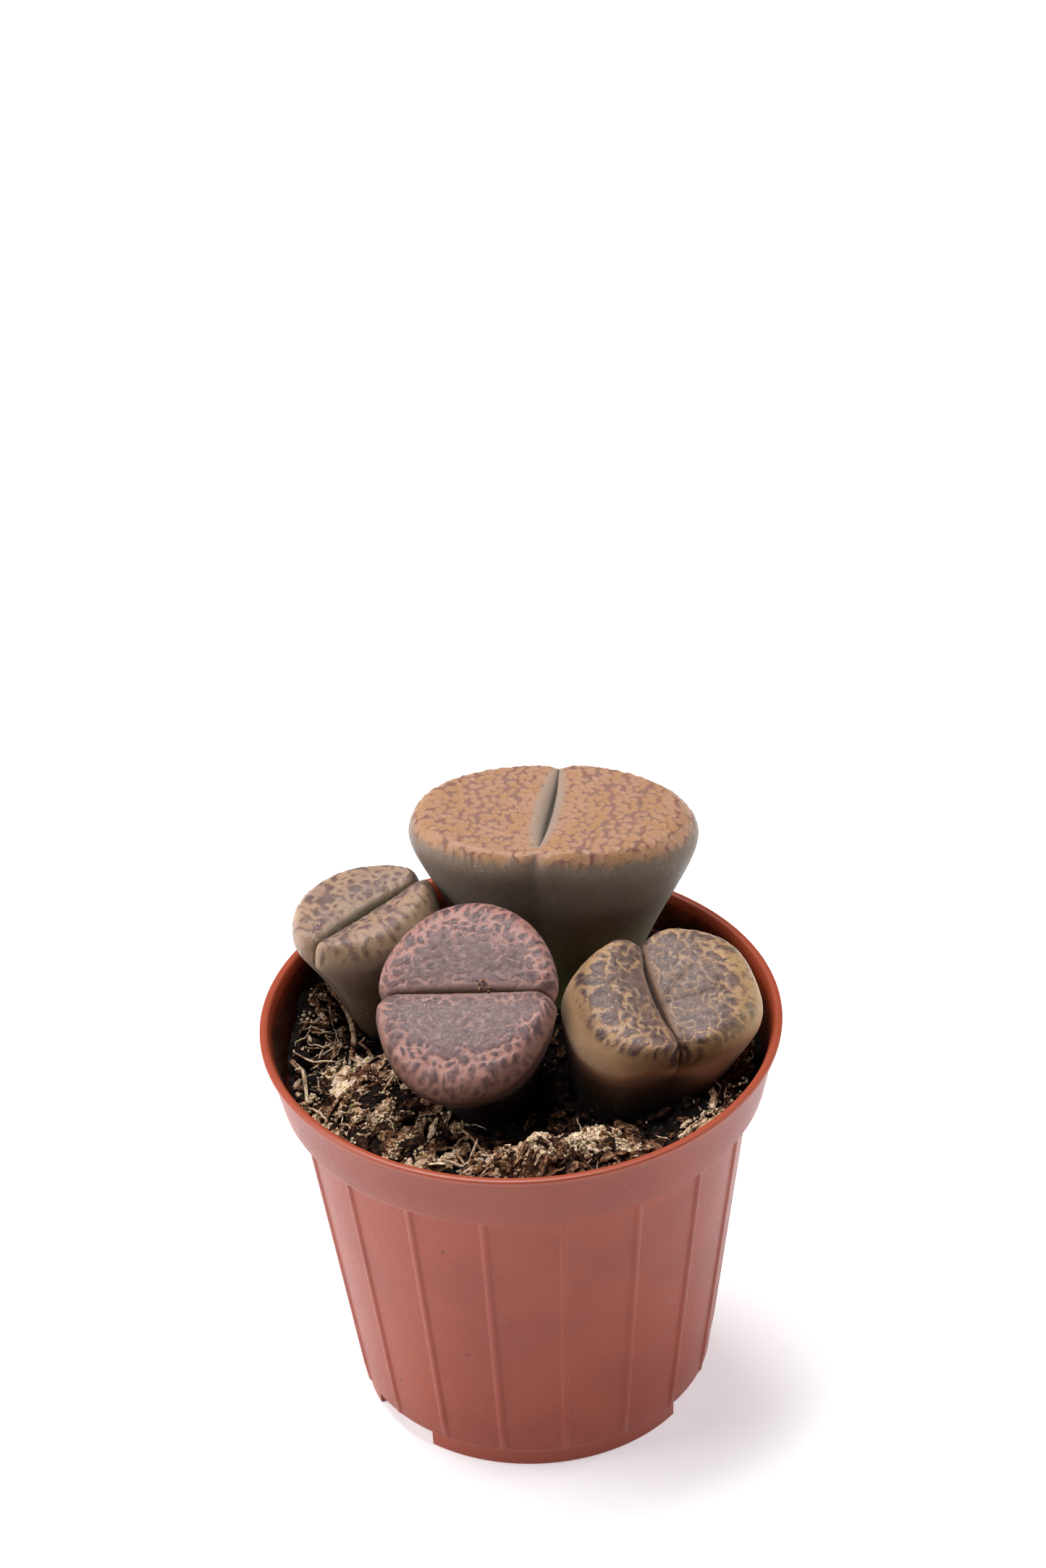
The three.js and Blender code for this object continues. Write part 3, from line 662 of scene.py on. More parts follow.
def leaf_finish(look):
    """Leaf skin: a patterned face, a band past the pattern's edge, a side that changes down to the soil,
    partly its own colour and partly painted shade and light, and the plain walls of the fissure, darkened
    inwards with painted shade."""
    f = Finish(look.slot, Subsurface_Weight=0.15, Subsurface_Scale=0.4 * MM,
               Subsurface_Radius=(1.0, 0.45, 0.3), Specular_IOR_Level=0.4, Sheen_Weight=look.sheen,
               Sheen_Roughness=0.45)
    soft = look.soft
    broad, middling, fine = f.noise(2.6, 3), f.noise(1.1, 2), f.noise(0.3, 3, 0.6)
    margin, window, past_rim = f.field("margin"), f.field("window"), f.field("past_rim")
    wobble = f.times(f.minus(fine, 0.5), look.fray)
    clear = f.blend(*look.clear, f.field("streak"), -0.7, 0.7)
    pale = f.mix(f.blend(*look.pale, broad, 0.38, 0.62), clear, f.times(window, look.hush))
    core = f.step(f.plus(f.field("core"), wobble), -soft, soft)
    dark = f.mix(f.blend(*look.dark, middling, 0.4, 0.6), look.deep, f.times(core, look.deep_share))
    dark = f.mix(dark, clear, f.times(window, look.clear_share))
    face = f.blend(pale, dark, f.plus(f.field("mark"), wobble), -soft, soft)
    # The tint is painted shade along the front plant's lower edge, and a tone of the skin on the others.
    tone_and_painted_shade = f.times(f.field("tint"), look.tint_share)
    # Painted shade and light: the side's ramp down to the soil darkens it where shade falls, or lightens it
    # where light shows through, over the side's own colour.
    down = f.plus(f.field("drop"), f.times(f.minus(broad, 0.5), 0.15))
    # Painted light: paler keeps part of a side lighter further down.
    if look.paler:
        down = f.minus(down, f.step(f.axes()[0], *look.paler))
    side = f.blend(f.mix(look.band, look.tint, tone_and_painted_shade), f.ramp(down, look.side), margin, *look.band_range)
    colour = f.blend(f.mix(face, look.tint, tone_and_painted_shade), side, margin, *look.fade_range)
    colour = f.blend(colour, look.rim, past_rim, *look.rim_range)
    # Painted shade: the fissure's walls darken deeper in, and the seam down the side takes the same dark
    # colour.
    wall = f.blend(look.wall, look.wall_deep, past_rim, 1.5, 3.5)
    colour = f.blend(colour, wall, past_rim, *look.wall_range)
    colour = f.mix(colour, look.wall_deep, f.times(f.field("seam"), 0.7))
    # Painted shade: the wrinkles darker.
    if look.crease:
        colour = f.mix(colour, look.crease, f.times(f.field("groove"), 0.4))
    colour = f.blend(colour, BLACK, fine, 0.56, 0.75, 0.16)
    colour = f.blend(colour, WHITE, fine, 0.44, 0.25, 0.06)
    colour = f.mix(colour, DUST, f.times(f.dots(2.1, 0.07), 0.7))
    return f.give(Base_Color=colour, Roughness=f.step(fine, 0.3, 0.7, 0.44, 0.6),
                  Normal=f.bumps((middling, 0.05), (fine, 0.02), (f.noise(0.12, 2), 0.006)))


# Pot

def rounded(profile, radii, count=5):
    """A broken line in the plane with its inner corners rounded."""
    made = [profile[:1]]
    t = np.linspace(0, 1, count)[:, None]
    for before, corner, after, radius in zip(profile, profile[1:], profile[2:], radii[1:]):
        back, ahead = before - corner, after - corner
        reach = min(radius, 0.45 * np.linalg.norm(back), 0.45 * np.linalg.norm(ahead))
        start = corner + back / np.linalg.norm(back) * reach
        end = corner + ahead / np.linalg.norm(ahead) * reach
        made.append((1 - t) ** 2 * start + 2 * t * (1 - t) * corner + t ** 2 * end)
    return np.concatenate([*made, profile[-1:]])


def pot_profile():
    """Radius and height from the middle of the underside, round the foot and over the lip, to the middle of
    the floor. The third number of each corner is how far it is rounded."""
    floor = FOOT_HEIGHT + SKIN
    corners = np.array([
        (0, FOOT_HEIGHT, 0), (FOOT_RADIUS - 1, FOOT_HEIGHT, 0.3), (FOOT_RADIUS - 1, 0, 0.2),
        (FOOT_RADIUS, 0, 0.25), (FOOT_RADIUS + 0.05, FOOT_HEIGHT - 0.35, 0.25),
        (WALL_FOOT_RADIUS, FOOT_HEIGHT, 0.35), (WALL_TOP_RADIUS, COLLAR_LOW - 0.6, 0.5),
        (COLLAR_LOW_RADIUS, COLLAR_LOW, 0.5), (COLLAR_HIGH_RADIUS, LIP_LOW, 0.12),
        (RIM_RADIUS - 0.04, LIP_LOW + 0.06, 0.2), (RIM_RADIUS, POT_HEIGHT - 0.12, 0.3),
        (RIM_RADIUS - 0.35, POT_HEIGHT, 0.25), (RIM_RADIUS - 0.85, POT_HEIGHT - 0.04, 0.3),
        (COLLAR_HIGH_RADIUS - SKIN, LIP_LOW - 0.3, 0.3), (COLLAR_LOW_RADIUS - SKIN, COLLAR_LOW - 0.2, 0.4),
        (WALL_TOP_RADIUS - SKIN, COLLAR_LOW - 1, 0.4), (WALL_FOOT_RADIUS - SKIN, floor + 0.2, 0.2),
        (WALL_FOOT_RADIUS - SKIN - 0.3, floor, 0.2), (0, floor, 0),
    ])
    line = rounded(corners[:, :2], corners[:, 2])
    made = [line[:1]]
    for a, b in zip(line, line[1:]):
        made.append(a + (b - a) * steps(max(1, int(np.linalg.norm(b - a) / PROFILE_STEP)), 1))
    return np.concatenate(made)


def pot_mesh():
    """A lathed cup whose columns gather at the ribs, which are raised from the outer wall."""
    profile = pot_profile()[1:-1]
    pitch = 360 / RIB_COUNT
    lip = np.argmax(profile[:, 1])
    rows = []
    for k, (r, z) in enumerate(profile):
        half = np.degrees(RIB_SPAN / max(r, GATHER_RADIUS))
        between = half + (pitch - 2 * half) * steps(9)[:, 0]
        offsets = np.concatenate([np.degrees(RIB_COLUMNS / max(r, GATHER_RADIUS)), between])
        proud = np.zeros(len(offsets))
        if k < lip and FOOT_HEIGHT - 0.1 < z < COLLAR_LOW - 0.1:
            fade = ease((z - FOOT_HEIGHT) / 0.5) * ease((COLLAR_LOW + 0.1 - z) / 0.5)
            proud[:len(RIB_COLUMNS)] = RIB_PROUD * (1 - ease((np.abs(RIB_COLUMNS) - 0.14) / 0.4)) * fade
        angles = np.concatenate([RIB_TURN + pitch * n + offsets for n in range(RIB_COUNT)])
        ring = plan(angles, r + np.tile(proud, RIB_COUNT))
        rows.append(np.column_stack([ring, np.full(len(ring), z)]))
    rows = np.array(rows)
    index = np.arange(rows[..., 0].size).reshape(rows.shape[:2])
    points = np.concatenate([rows.reshape(-1, 3), [[0, 0, FOOT_HEIGHT], [0, 0, FOOT_HEIGHT + SKIN]]])
    caps = [fan_faces(index[0], index.size), fan_faces(index[-1], index.size + 1)[:, ::-1]]
    return make_mesh("fine_pot", points, [grid_faces(index)[:, ::-1], *caps])


def prism(outline, low, high):
    """A straight block over a plan outline that runs anticlockwise seen from above."""
    count = len(outline)
    points = np.concatenate([np.column_stack([outline, np.full(count, z)]) for z in (low, high)])
    index = np.arange(2 * count).reshape(2, count)
    sides = grid_faces(index)[:, ::-1]
    return make_mesh("block", points, [sides, index[:1, ::-1], index[1:]], smooth=False)


def sector(middle, sweep, inner, outer):
    angles = np.linspace(middle - sweep / 2, middle + sweep / 2, 9)
    return np.concatenate([plan(angles, outer), plan(angles[::-1], inner)])


def disc(centre, radius):
    return centre + plan(360 * steps(32)[:, 0], radius)


def cut_away(piece, blocks):
    """Takes each block out of the piece and keeps the result."""
    for block in blocks:
        tool = put("cutter", block)
        cut = piece.modifiers.new("cut", "BOOLEAN")
        cut.operation, cut.solver, cut.object = "DIFFERENCE", "EXACT", tool
        graph = bpy.context.evaluated_depsgraph_get()
        mesh = bpy.data.meshes.new_from_object(piece.evaluated_get(graph))
        piece.modifiers.clear()
        piece.data = mesh
        bpy.data.objects.remove(tool)


def pot_finish():
    """Clouded plastic: painted shade darkens it inside and a little on the collar, and painted light
    brightens the foot and the lip.
    """
    f = Finish("pot_plastic", Specular_IOR_Level=0.4)
    cloud, grain = f.noise(2.2, 4, 0.6), f.noise(0.3, 2, 0.6, f.stretch(1, 1, 0.45))
    colour = f.blend(paint(168, 63, 34), paint(180, 71, 38), f.noise(9, 3), 0.35, 0.65)
    colour = f.blend(colour, paint(152, 58, 36), cloud, 0.5, 0.75, 0.2)
    colour = f.blend(colour, paint(200, 94, 62), grain, 0.5, 0.75, 0.3)
    speck = f.times(f.dots(2.8, 0.2), f.step(f.noise(6, 1), 0.55, 0.62))
    colour = f.mix(colour, paint(60, 26, 20), f.times(speck, 0.8))
    x, y, z = f.axes()
    radius = f.math("SQRT", f.plus(f.times(x, x), f.times(y, y)))
    middle = f.step(z, COLLAR_LOW, LIP_LOW, COLLAR_LOW_RADIUS - SKIN / 2, COLLAR_HIGH_RADIUS - SKIN / 2)
    within = f.step(f.minus(radius, middle), 0.1, -0.1)
    # Painted shade: the inner wall turns dark brown below the lip, more so further down.
    deep = f.plus(z, f.times(f.minus(cloud, 0.5), 3))
    painted_shade_inside = f.times(within, f.step(deep, LIP_LOW + 0.2, LIP_LOW - 2, 0.0, 0.85))
    painted_shade_inside = f.times(painted_shade_inside, f.step(z, COLLAR_LOW + 0.2, COLLAR_LOW + 0.8))
    colour = f.mix(colour, paint(54, 18, 11), painted_shade_inside)
    # Painted shade: the collar and everything above it a little darker.
    colour = f.blend(colour, BLACK, z, COLLAR_LOW, COLLAR_LOW + 0.3, 0.12)
    # Painted light: the foot lighter and more orange.
    colour = f.blend(colour, paint(200, 92, 62), z, FOOT_HEIGHT, FOOT_HEIGHT - 0.2, 0.6)
    # Painted light: the lip lighter and more orange.
    colour = f.blend(colour, paint(200, 92, 62), z, LIP_LOW, LIP_LOW + 0.12, 0.75)
    below_lip = f.step(z, LIP_LOW, LIP_LOW - 0.3)
    grain, cloud = f.times(grain, below_lip), f.times(cloud, below_lip)
    return f.give(Base_Color=colour, Roughness=f.step(grain, 0.3, 0.7, 0.38, 0.46),
                  Normal=f.bumps((grain, 0.03), (cloud, 0.05)))


def add_pot():
    piece = add_piece(pot_mesh(), pot_finish(), "pot")
    notches = [sector(angle, NOTCH_SWEEP, FOOT_RADIUS - 2, FOOT_RADIUS + 1) for angle in NOTCH_ANGLES]
    drains = [disc(plan(angle, DRAIN_RING), DRAIN_RADIUS) for angle in DRAIN_ANGLES]
    cut_away(piece, [prism(notch, -0.5, FOOT_HEIGHT - 0.5) for notch in notches])
    cut_away(piece, [prism(drain, FOOT_HEIGHT - 1, FOOT_HEIGHT + SKIN + 1) for drain in drains])
    piece.data.set_sharp_from_angle(angle=math.radians(SHARP_ANGLE))


# Soil

def crust_bed(x, y):
    """1 in the middle of the crust's bed and 0 outside it."""
    angle, radius = polar(x, y)
    sideways = 1 - ((angle - CRUST.middle) / (0.5 * (CRUST.end - CRUST.start))) ** 2
    slope = np.where(radius > CRUST.crest, CRUST.outer + 0.4, CRUST.inner) - CRUST.crest
    outwards = 1 - ((radius - CRUST.crest) / slope) ** 2
    return np.maximum(0, sideways) * np.maximum(0, outwards)


def soil_slope(x, y):
    """The soil's level over the plan, with its hollows, the swell under the crust and the drift that climbs
    the pot's wall, but without its crumbs."""
    z = SOIL_LEVEL + SOIL_SLOPE[0] * x + SOIL_SLOPE[1] * y
    for hx, hy, size, depth in HOLLOWS:
        z = z - depth * bell(np.hypot(x - hx, y - hy), size)
    angle, radius = polar(x, y)
    climb = ease((radius - DRIFT.start) / (DRIFT.end - DRIFT.start))
    return z + DRIFT.high * bell(angle - DRIFT.angle, DRIFT.spread) * climb + 0.8 * crust_bed(x, y)


def domes(place, layers, middle=0.0):
    """Round tops packed side by side, in layers of a seed, how far apart and how high. The middle is how far
    up them the level of 0 lies, from 0 to 1."""
    total = 0
    for seed, size, high in layers:
        net = cells(seed, warped(seed + 3, place, (0.2 * size, 0.6 * size)), size, 0.9)
        dome = np.sqrt(np.clip(1 - (net.first / (0.72 * size)) ** 2, 0, 1)) * (0.5 + 0.5 * net.number)
        total = total + high * (dome - middle)
    return total


def soil_level(x, y):
    place = np.stack([x, y], -1)
    return soil_slope(x, y) + 0.4 * layered(91, place, 5.0) + domes(place, CRUMBS, 0.5)


def crust_level(x, y):
    """The crust's top, which ends just under the soil's level."""
    place, bed = np.stack([x, y], -1), crust_bed(x, y)
    cake = CRUST.thick * bed * (0.75 + 0.4 * noise(98, place, 3.0)) + domes(place, CAKE_LUMPS)
    return soil_slope(x, y) - 0.3 + ease(4 * bed) * cake


def add_soil():
    """A closed body: a square grid drawn round into a disc, and rings that follow the pot's inside down."""
    u, v = np.meshgrid(np.linspace(-1, 1, SOIL_STEPS), np.linspace(-1, 1, SOIL_STEPS))
    x, y = u * np.sqrt(1 - v * v / 2), v * np.sqrt(1 - u * u / 2)
    z = soil_level(SOIL_RADIUS * x, SOIL_RADIUS * y)
    gap = SKIN + SEAT_GAP
    widening = (COLLAR_HIGH_RADIUS - COLLAR_LOW_RADIUS) / (LIP_LOW - COLLAR_LOW)
    wide = COLLAR_LOW_RADIUS - gap + widening * (z - COLLAR_LOW)
    index = np.arange(x.size).reshape(x.shape)
    edge = grid_edge(index)
    around = np.stack([x, y], -1).reshape(-1, 2)[edge]
    floor = FOOT_HEIGHT + gap
    levels = ((COLLAR_LOW_RADIUS - gap - 0.1, COLLAR_LOW - 0.2), (WALL_TOP_RADIUS - gap, COLLAR_LOW - 1.2),
              (WALL_FOOT_RADIUS - gap - SEAT_GAP, floor))
    points = [np.stack([wide * x, wide * y, z], -1).reshape(-1, 3)]
    points += [np.column_stack([radius * around, np.full(len(edge), level)]) for radius, level in levels]
    points = np.concatenate([*points, [[0, 0, floor]]])
    lower = index.size + np.arange(len(levels) * len(edge)).reshape(len(levels), -1)
    rows = np.concatenate([edge[None], lower])
    faces = [grid_faces(index, closed=False)[:, ::-1], grid_faces(rows), fan_faces(rows[-1], len(points) - 1)]
    add_piece(make_mesh("fine_soil", points, faces), soil_finish(), "soil")


def add_crust():
    """The crust's cake: a granular top over a smooth underside."""
    angles = np.linspace(CRUST.start, CRUST.end, CRUST.steps[0])
    radii = np.linspace(CRUST.outer, CRUST.inner, CRUST.steps[1])
    x, y = np.moveaxis(plan(angles[None, :], radii[:, None]), -1, 0)
    low = soil_slope(x, y) - 0.8
    layers = np.stack([np.maximum(crust_level(x, y), low + 0.1), low])
    points = np.stack([x + 0 * layers, y + 0 * layers, layers], -1).reshape(-1, 3)
    top, under = np.arange(layers.size).reshape(layers.shape)
    sides = grid_faces(np.stack([grid_edge(top), grid_edge(under)]))
    faces = [grid_faces(top, closed=False)[:, ::-1], grid_faces(under, closed=False), sides]
    front = ease((np.hypot(x, y) - CRUST.crest - 1.2) / 1.4) + 0 * layers
    mesh = make_mesh("fine_crust", points, faces, dict(front=front.ravel()))
    add_piece(mesh, crust_finish(), "soil_crust")


class Litter:
    """Loose bits gathered in one mesh, each with a tint from 0 to 1 and a grain that runs along it."""

    def __init__(self, seed):
        self.random = np.random.default_rng(seed)
        self.points, self.faces, self.smooth, self.tints, self.grains, self.count = [], [], [], [], [], 0

    def add(self, points, faces, tint, grain, smooth):
        """Many bits of one make. Points is (bits, corners, 3), each array of faces numbers one bit's corners,
        and grain is each corner's place in the grain."""
        bits, corners = points.shape[:2]
        start = self.count + corners * np.arange(bits)
        for kind in faces:
            self.faces.append((start[:, None, None] + kind).reshape(-1, kind.shape[1]))
            self.smooth.append(np.full(len(self.faces[-1]), smooth))
        self.points.append(points.reshape(-1, 3))
        self.tints.append(np.repeat(np.broadcast_to(tint, bits), corners))
        shifted = grain + 40 * self.random.random((bits, 1, 3))
        self.grains.append((MM * shifted).reshape(-1, 3))
        self.count += bits * corners

    def strips(self, paths, wide, thick, tint, sides=6, rough=0.3, up=(0, 0, 1), smooth=False):
        """Flakes, stalks and rootlets along paths of (bits, count, 3), by half their width and thickness."""
        bits, count = paths.shape[:2]
        ahead = np.gradient(paths, axis=1)
        ahead /= np.linalg.norm(ahead, axis=-1, keepdims=True)
        side = np.cross(ahead, np.broadcast_to(up, (bits, 3))[:, None])
        side /= np.maximum(np.linalg.norm(side, axis=-1, keepdims=True), 1e-6)
        lift = np.cross(side, ahead)
        turn = 2 * np.pi * steps(sides)
        uneven = 1 + rough * (self.random.random((bits, count, sides, 1)) - 0.5)
        uneven = uneven * (1 - 0.55 * np.abs(np.linspace(-1, 1, count)) ** 4)[:, None, None]
        across = np.reshape(wide, (-1, 1, 1, 1)) * np.cos(turn) * uneven
        above = np.reshape(thick, (-1, 1, 1, 1)) * np.sin(turn) * uneven
        skin = paths[:, :, None] + across * side[:, :, None] + above * lift[:, :, None]
        tips = paths[:, (0, -1)] + 0.1 * (paths[:, (0, -1)] - paths[:, (1, -2)])
        length = np.linalg.norm(paths[:, -1] - paths[:, 0], axis=-1)
        run = length[:, None, None] * np.linspace(0, 1, count)[:, None]
        across, above = across[..., 0], above[..., 0]
        local = np.stack([0.12 * run + 0 * across, across, above], -1).reshape(bits, -1, 3)
        index = np.arange(count * sides).reshape(count, sides)
        caps = [fan_faces(index[0], index.size)[:, ::-1], fan_faces(index[-1], index.size + 1)]
        points = np.concatenate([skin.reshape(bits, -1, 3), tips], axis=1)
        self.add(points, [grid_faces(index), *caps], tint, np.concatenate([local, 0 * tips], axis=1), smooth)

    def lumps(self, places, size, tint, rough=0.5):
        """Grains and crumbs at places of (bits, 3)."""
        ball, faces = icosphere()
        bits = len(places)
        turns = np.linalg.qr(self.random.normal(size=(bits, 3, 3)))[0]
        uneven = 1 + rough * (self.random.random((bits, len(ball), 1)) - 0.5)
        local = ball * uneven * (1.0, 0.85, 0.7) * np.reshape(size, (-1, 1, 1))
        local = local * np.sign(np.linalg.det(turns))[:, None, None]
        self.add(places[:, None] + local @ turns, [faces], tint, local, True)

    def strewn(self, count, angles, radii):
        """Even random places over a part of the plan, clear of the plants' necks."""
        angle = self.random.uniform(*angles, count)
        place = plan(angle, np.sqrt(self.random.uniform(radii[0] ** 2, radii[1] ** 2, count)))
        for p in PLANTS.values():
            x, y = ((place - p.base[:2]) @ face_frame(0, 0, p.turn)[:2, :2]).T
            reach = np.where(x > 0, p.right, p.left) * p.neck_wide
            place = place[np.hypot(x / reach, y / (p.half * p.neck_deep)) > NECK_CLEARANCE]
        return place

    def lying(self, place, length, heading, spread, lift, pitch=0.25, curl=0.2, corners=6,
              level=soil_slope):
        """Paths of pieces that lie on the ground at the places, headed within a spread of an angle in
        degrees."""
        uniform, count = self.random.uniform, len(place)
        length = uniform(*length, count)[:, None]
        way = np.radians(heading + spread * uniform(-1, 1, count))[:, None]
        t = np.linspace(-0.5, 0.5, corners)
        aside = curl * uniform(-1, 1, (count, 1)) * length * (t * t - 0.08)
        aside = aside + 0.03 * length * np.cumsum(self.random.normal(size=(count, corners)), axis=1)
        x = place[:, 0:1] + np.cos(way) * length * t - np.sin(way) * aside
        y = place[:, 1:2] + np.sin(way) * length * t + np.cos(way) * aside
        pull = np.minimum(1, LITTER_REACH / np.maximum(np.hypot(x, y), 1e-6))
        x, y = x * pull, y * pull
        tilt = uniform(-pitch, pitch, (count, 1)) * length * t
        arch = 0.12 * uniform(0, 1, (count, 1)) * length * (0.25 - t * t)
        ground = level(x, y)
        z = ground + uniform(*lift, count)[:, None] + tilt + arch
        return np.stack([x, y, np.maximum(z, ground - 0.2)], -1)

    def leaning(self, count, tip=0.5):
        """Up directions that lean by chance."""
        return (0, 0, 1) + tip * self.random.normal(size=(count, 3)) * (1, 1, 0)

    def finish(self, name, node):
        fields = dict(tint=np.concatenate(self.tints), grain=np.concatenate(self.grains))
        mesh = make_mesh(name, np.concatenate(self.points), self.faces, fields, np.concatenate(self.smooth))
        add_piece(mesh, litter_finish(node), node)


def icosphere():
    """A ball of twelve corners and twenty faces."""
    form = bmesh.new()
    bmesh.ops.create_icosphere(form, subdivisions=1, radius=1)
    points = np.array([corner.co for corner in form.verts])
    faces = np.array([[corner.index for corner in face.verts] for face in form.faces])
    form.free()
    return points, faces


def add_bark():
    """Chips of bark: a slanting heap at the front left, some caked with grit, and darker ones all over."""
    litter = Litter(5)
    uniform = litter.random.uniform
    for count, angles, radii, length, wide, heading, spread, tints, grains in BARK:
        place = litter.strewn(count, angles, radii)
        paths = litter.lying(place, length, heading, spread, (0.1, 1.0), pitch=0.4, corners=8)
        bits = len(place)
        width = uniform(*wide, bits)
        thick = width * uniform(0.25, 0.55, bits)
        tint = litter.random.choice(tints, bits) + uniform(-0.05, 0.05, bits)
        litter.strips(paths, width, thick, tint, sides=8, rough=0.75, up=litter.leaning(bits))
        caked = paths[::3]
        row = np.arange(len(caked))
        for k in range(grains):
            t = uniform(0, 0.999, len(caked)) * (caked.shape[1] - 1)
            step = t.astype(int)
            on = caked[row, step] + (t - step)[:, None] * (caked[row, step + 1] - caked[row, step])
            on = on + litter.random.normal(size=on.shape) * (0.28, 0.28, 0.12) + (0, 0, 0.28)
            litter.lumps(on, uniform(0.08, 0.3, len(on)), uniform(0.4, 0.95, len(on)), rough=1.0)
    litter.finish("bark_chips", "soil")


def add_grit():
    """Crumbs of peat all over, and pale grains and algae where they have gathered."""
    litter = Litter(6)
    uniform = litter.random.uniform
    for count, angles, radii, size, tints, lift in GRIT:
        x, y = litter.strewn(count, angles, radii).T
        places = np.column_stack([x, y, soil_level(x, y) + uniform(*lift, len(x))])
        litter.lumps(places, uniform(*size, len(x)), uniform(*tints, len(x)), rough=0.8)
    spots = np.repeat(FACE_CRUMBS, CRUMB_GRAINS, axis=0)
    spots = spots + 0.35 * litter.random.normal(size=spots.shape) * (1, 1, 0.4)
    spots = bend(spots, PLANTS["plant_front"])
    litter.lumps(spots, uniform(0.1, 0.28, len(spots)), uniform(0.25, 0.5, len(spots)))
    litter.finish("grit", "soil")


def smooth_path(corners, count=14):
    """A soft curve through a few corners. It passes each in the direction from the one before to the next."""
    corners = np.array(corners)
    padded = np.concatenate([2 * corners[:1] - corners[1:2], corners, 2 * corners[-1:] - corners[-2:-1]])
    made = []
    for t in np.linspace(0, len(corners) - 1.001, count):
        k, f = int(t), t % 1
        a, b, c, d = padded[k:k + 4]
        squared, cubed = 2 * a - 5 * b + 4 * c - d, 3 * b - a - 3 * c + d
        made.append(0.5 * (2 * b + (c - a) * f + squared * f * f + cubed * f ** 3))
    return np.array(made)


def add_fibres():
    """Rootlets and stalks: the ones the photograph shows by themselves, and fine ones strewn about."""
    litter = Litter(8)
    uniform = litter.random.uniform
    for corners, wide, tint in ROOTLETS:
        path = smooth_path([(x, y, soil_slope(x, y) + up) for x, y, up in corners])
        litter.strips(path[None], wide, 0.8 * wide, tint, smooth=True)
    for count, angles, radii, length, wide, tints in FIBRES:
        place = litter.strewn(count, angles, radii)
        bits = len(place)
        paths = litter.lying(place, length, 0, 180, (0.2, 1.0), pitch=0.3, curl=0.9, corners=12)
        litter.strips(paths, uniform(*wide, bits), uniform(*wide, bits), uniform(*tints, bits), sides=5,
                      rough=0.2, smooth=True)
    for centre, count, length, wide, rise in FANS:
        turn = 2 * np.pi * steps(count)[:, 0] + uniform(0, 0.9, count)
        way = np.stack([np.cos(turn), np.sin(turn), rise * uniform(0.1, 1.0, count)], -1)
        reach = uniform(*length, count)[:, None, None] * np.linspace(0, 1, 5)[:, None]
        start = np.array([*centre, soil_slope(*centre) + 0.7])
        litter.strips(start + reach * way[:, None], wide * uniform(0.6, 1.3, count), 0.5 * wide,
                      uniform(0.55, 0.75, count), sides=5, rough=0.5)
    litter.finish("rootlets", "soil")


def add_crust_litter():
    """Cream grains over the crust's back and crest, red-brown bark down its front, and straw in both."""
    litter = Litter(9)
    uniform = litter.random.uniform
    angles, radii = (CRUST.start + 5, CRUST.end - 2), (CRUST.inner + 1, CRUST.crest + 2.6)
    place = litter.strewn(CRUST_GRAINS, angles, radii)
    dull = ease((1.8 - place[:, 0]) / 3.0)
    clumped = noise(99, place, 1.6) + 1.6 * crust_bed(*place.T) > 0.45 + 0.35 * dull
    (x, y), dull = place[clumped].T, dull[clumped]
    places = np.column_stack([x, y, crust_level(x, y) + uniform(0, 0.3, len(x))])
    tint = uniform(0.66, 0.88, len(x)) - 0.3 * dull * uniform(0.3, 1, len(x))
    litter.lumps(places, uniform(0.14, 0.34, len(x)), tint)
    for count, radii, length, wide, tints, pitch in CRUST_CHIPS:
        place = litter.strewn(count, (CRUST.start, CRUST.end), radii)
        bits = len(place)
        paths = litter.lying(place, length, 20, 70, (0, 0.4), pitch=pitch, level=crust_level)
        width = uniform(*wide, bits)
        tint = uniform(*tints, bits)
        litter.strips(paths, width, 0.3 * width, tint, rough=0.5, up=litter.leaning(bits, 0.8))
    litter.finish("crust_grains", "soil_crust")


def litter_finish(name):
    """Bark, straw and grit: a colour by each bit's tint, streaked along its grain."""
    f = Finish(name, Roughness=0.85, Specular_IOR_Level=0.15)
    streak, fine = f.noise(0.35, 3, 0.6, f.field("grain", "Vector")), f.noise(0.18, 3, 0.7)
    mottle = f.plus(f.times(f.noise(0.45, 4, 0.7), 1.3), f.times(f.noise(2.4, 2), 0.8))
    colour = f.ramp(f.plus(f.field("tint"), f.minus(mottle, 1.08)), [
        (0.0, paint(16, 9, 7)), (0.2, paint(66, 38, 28)), (0.4, paint(158, 106, 72)),
        (0.6, paint(226, 186, 148, 0.8)), (0.82, paint(255, 228, 204, 1.0)),
        (0.92, paint(250, 230, 168, 0.8)), (1.0, paint(190, 178, 104, 0.8))])
    colour = f.blend(colour, PORE, streak, 0.5, 0.64, 0.75)
    colour = f.blend(colour, PORE, fine, 0.55, 0.7, 0.5)
    return f.give(Base_Color=colour, Normal=f.bumps((streak, 0.2), (fine, 0.12)))


def crust_finish():
    """Cream cake with brown hollows, darker and redder down its front."""
    f = Finish("crust_cake", Roughness=0.85, Specular_IOR_Level=0.25)
    broad, fine = f.noise(0.9, 4, 0.65), f.noise(0.22, 3, 0.7)
    cream = f.blend(paint(60, 34, 24), paint(255, 230, 206, 0.95), broad, 0.48, 0.6)
    brown = f.blend(paint(36, 18, 12), paint(150, 92, 64), broad, 0.44, 0.6)
    colour = f.blend(f.mix(cream, brown, f.field("front")), CAKE_PORE, fine, 0.5, 0.7, 0.6)
    return f.give(Base_Color=colour, Normal=f.bumps((fine, 0.12)))


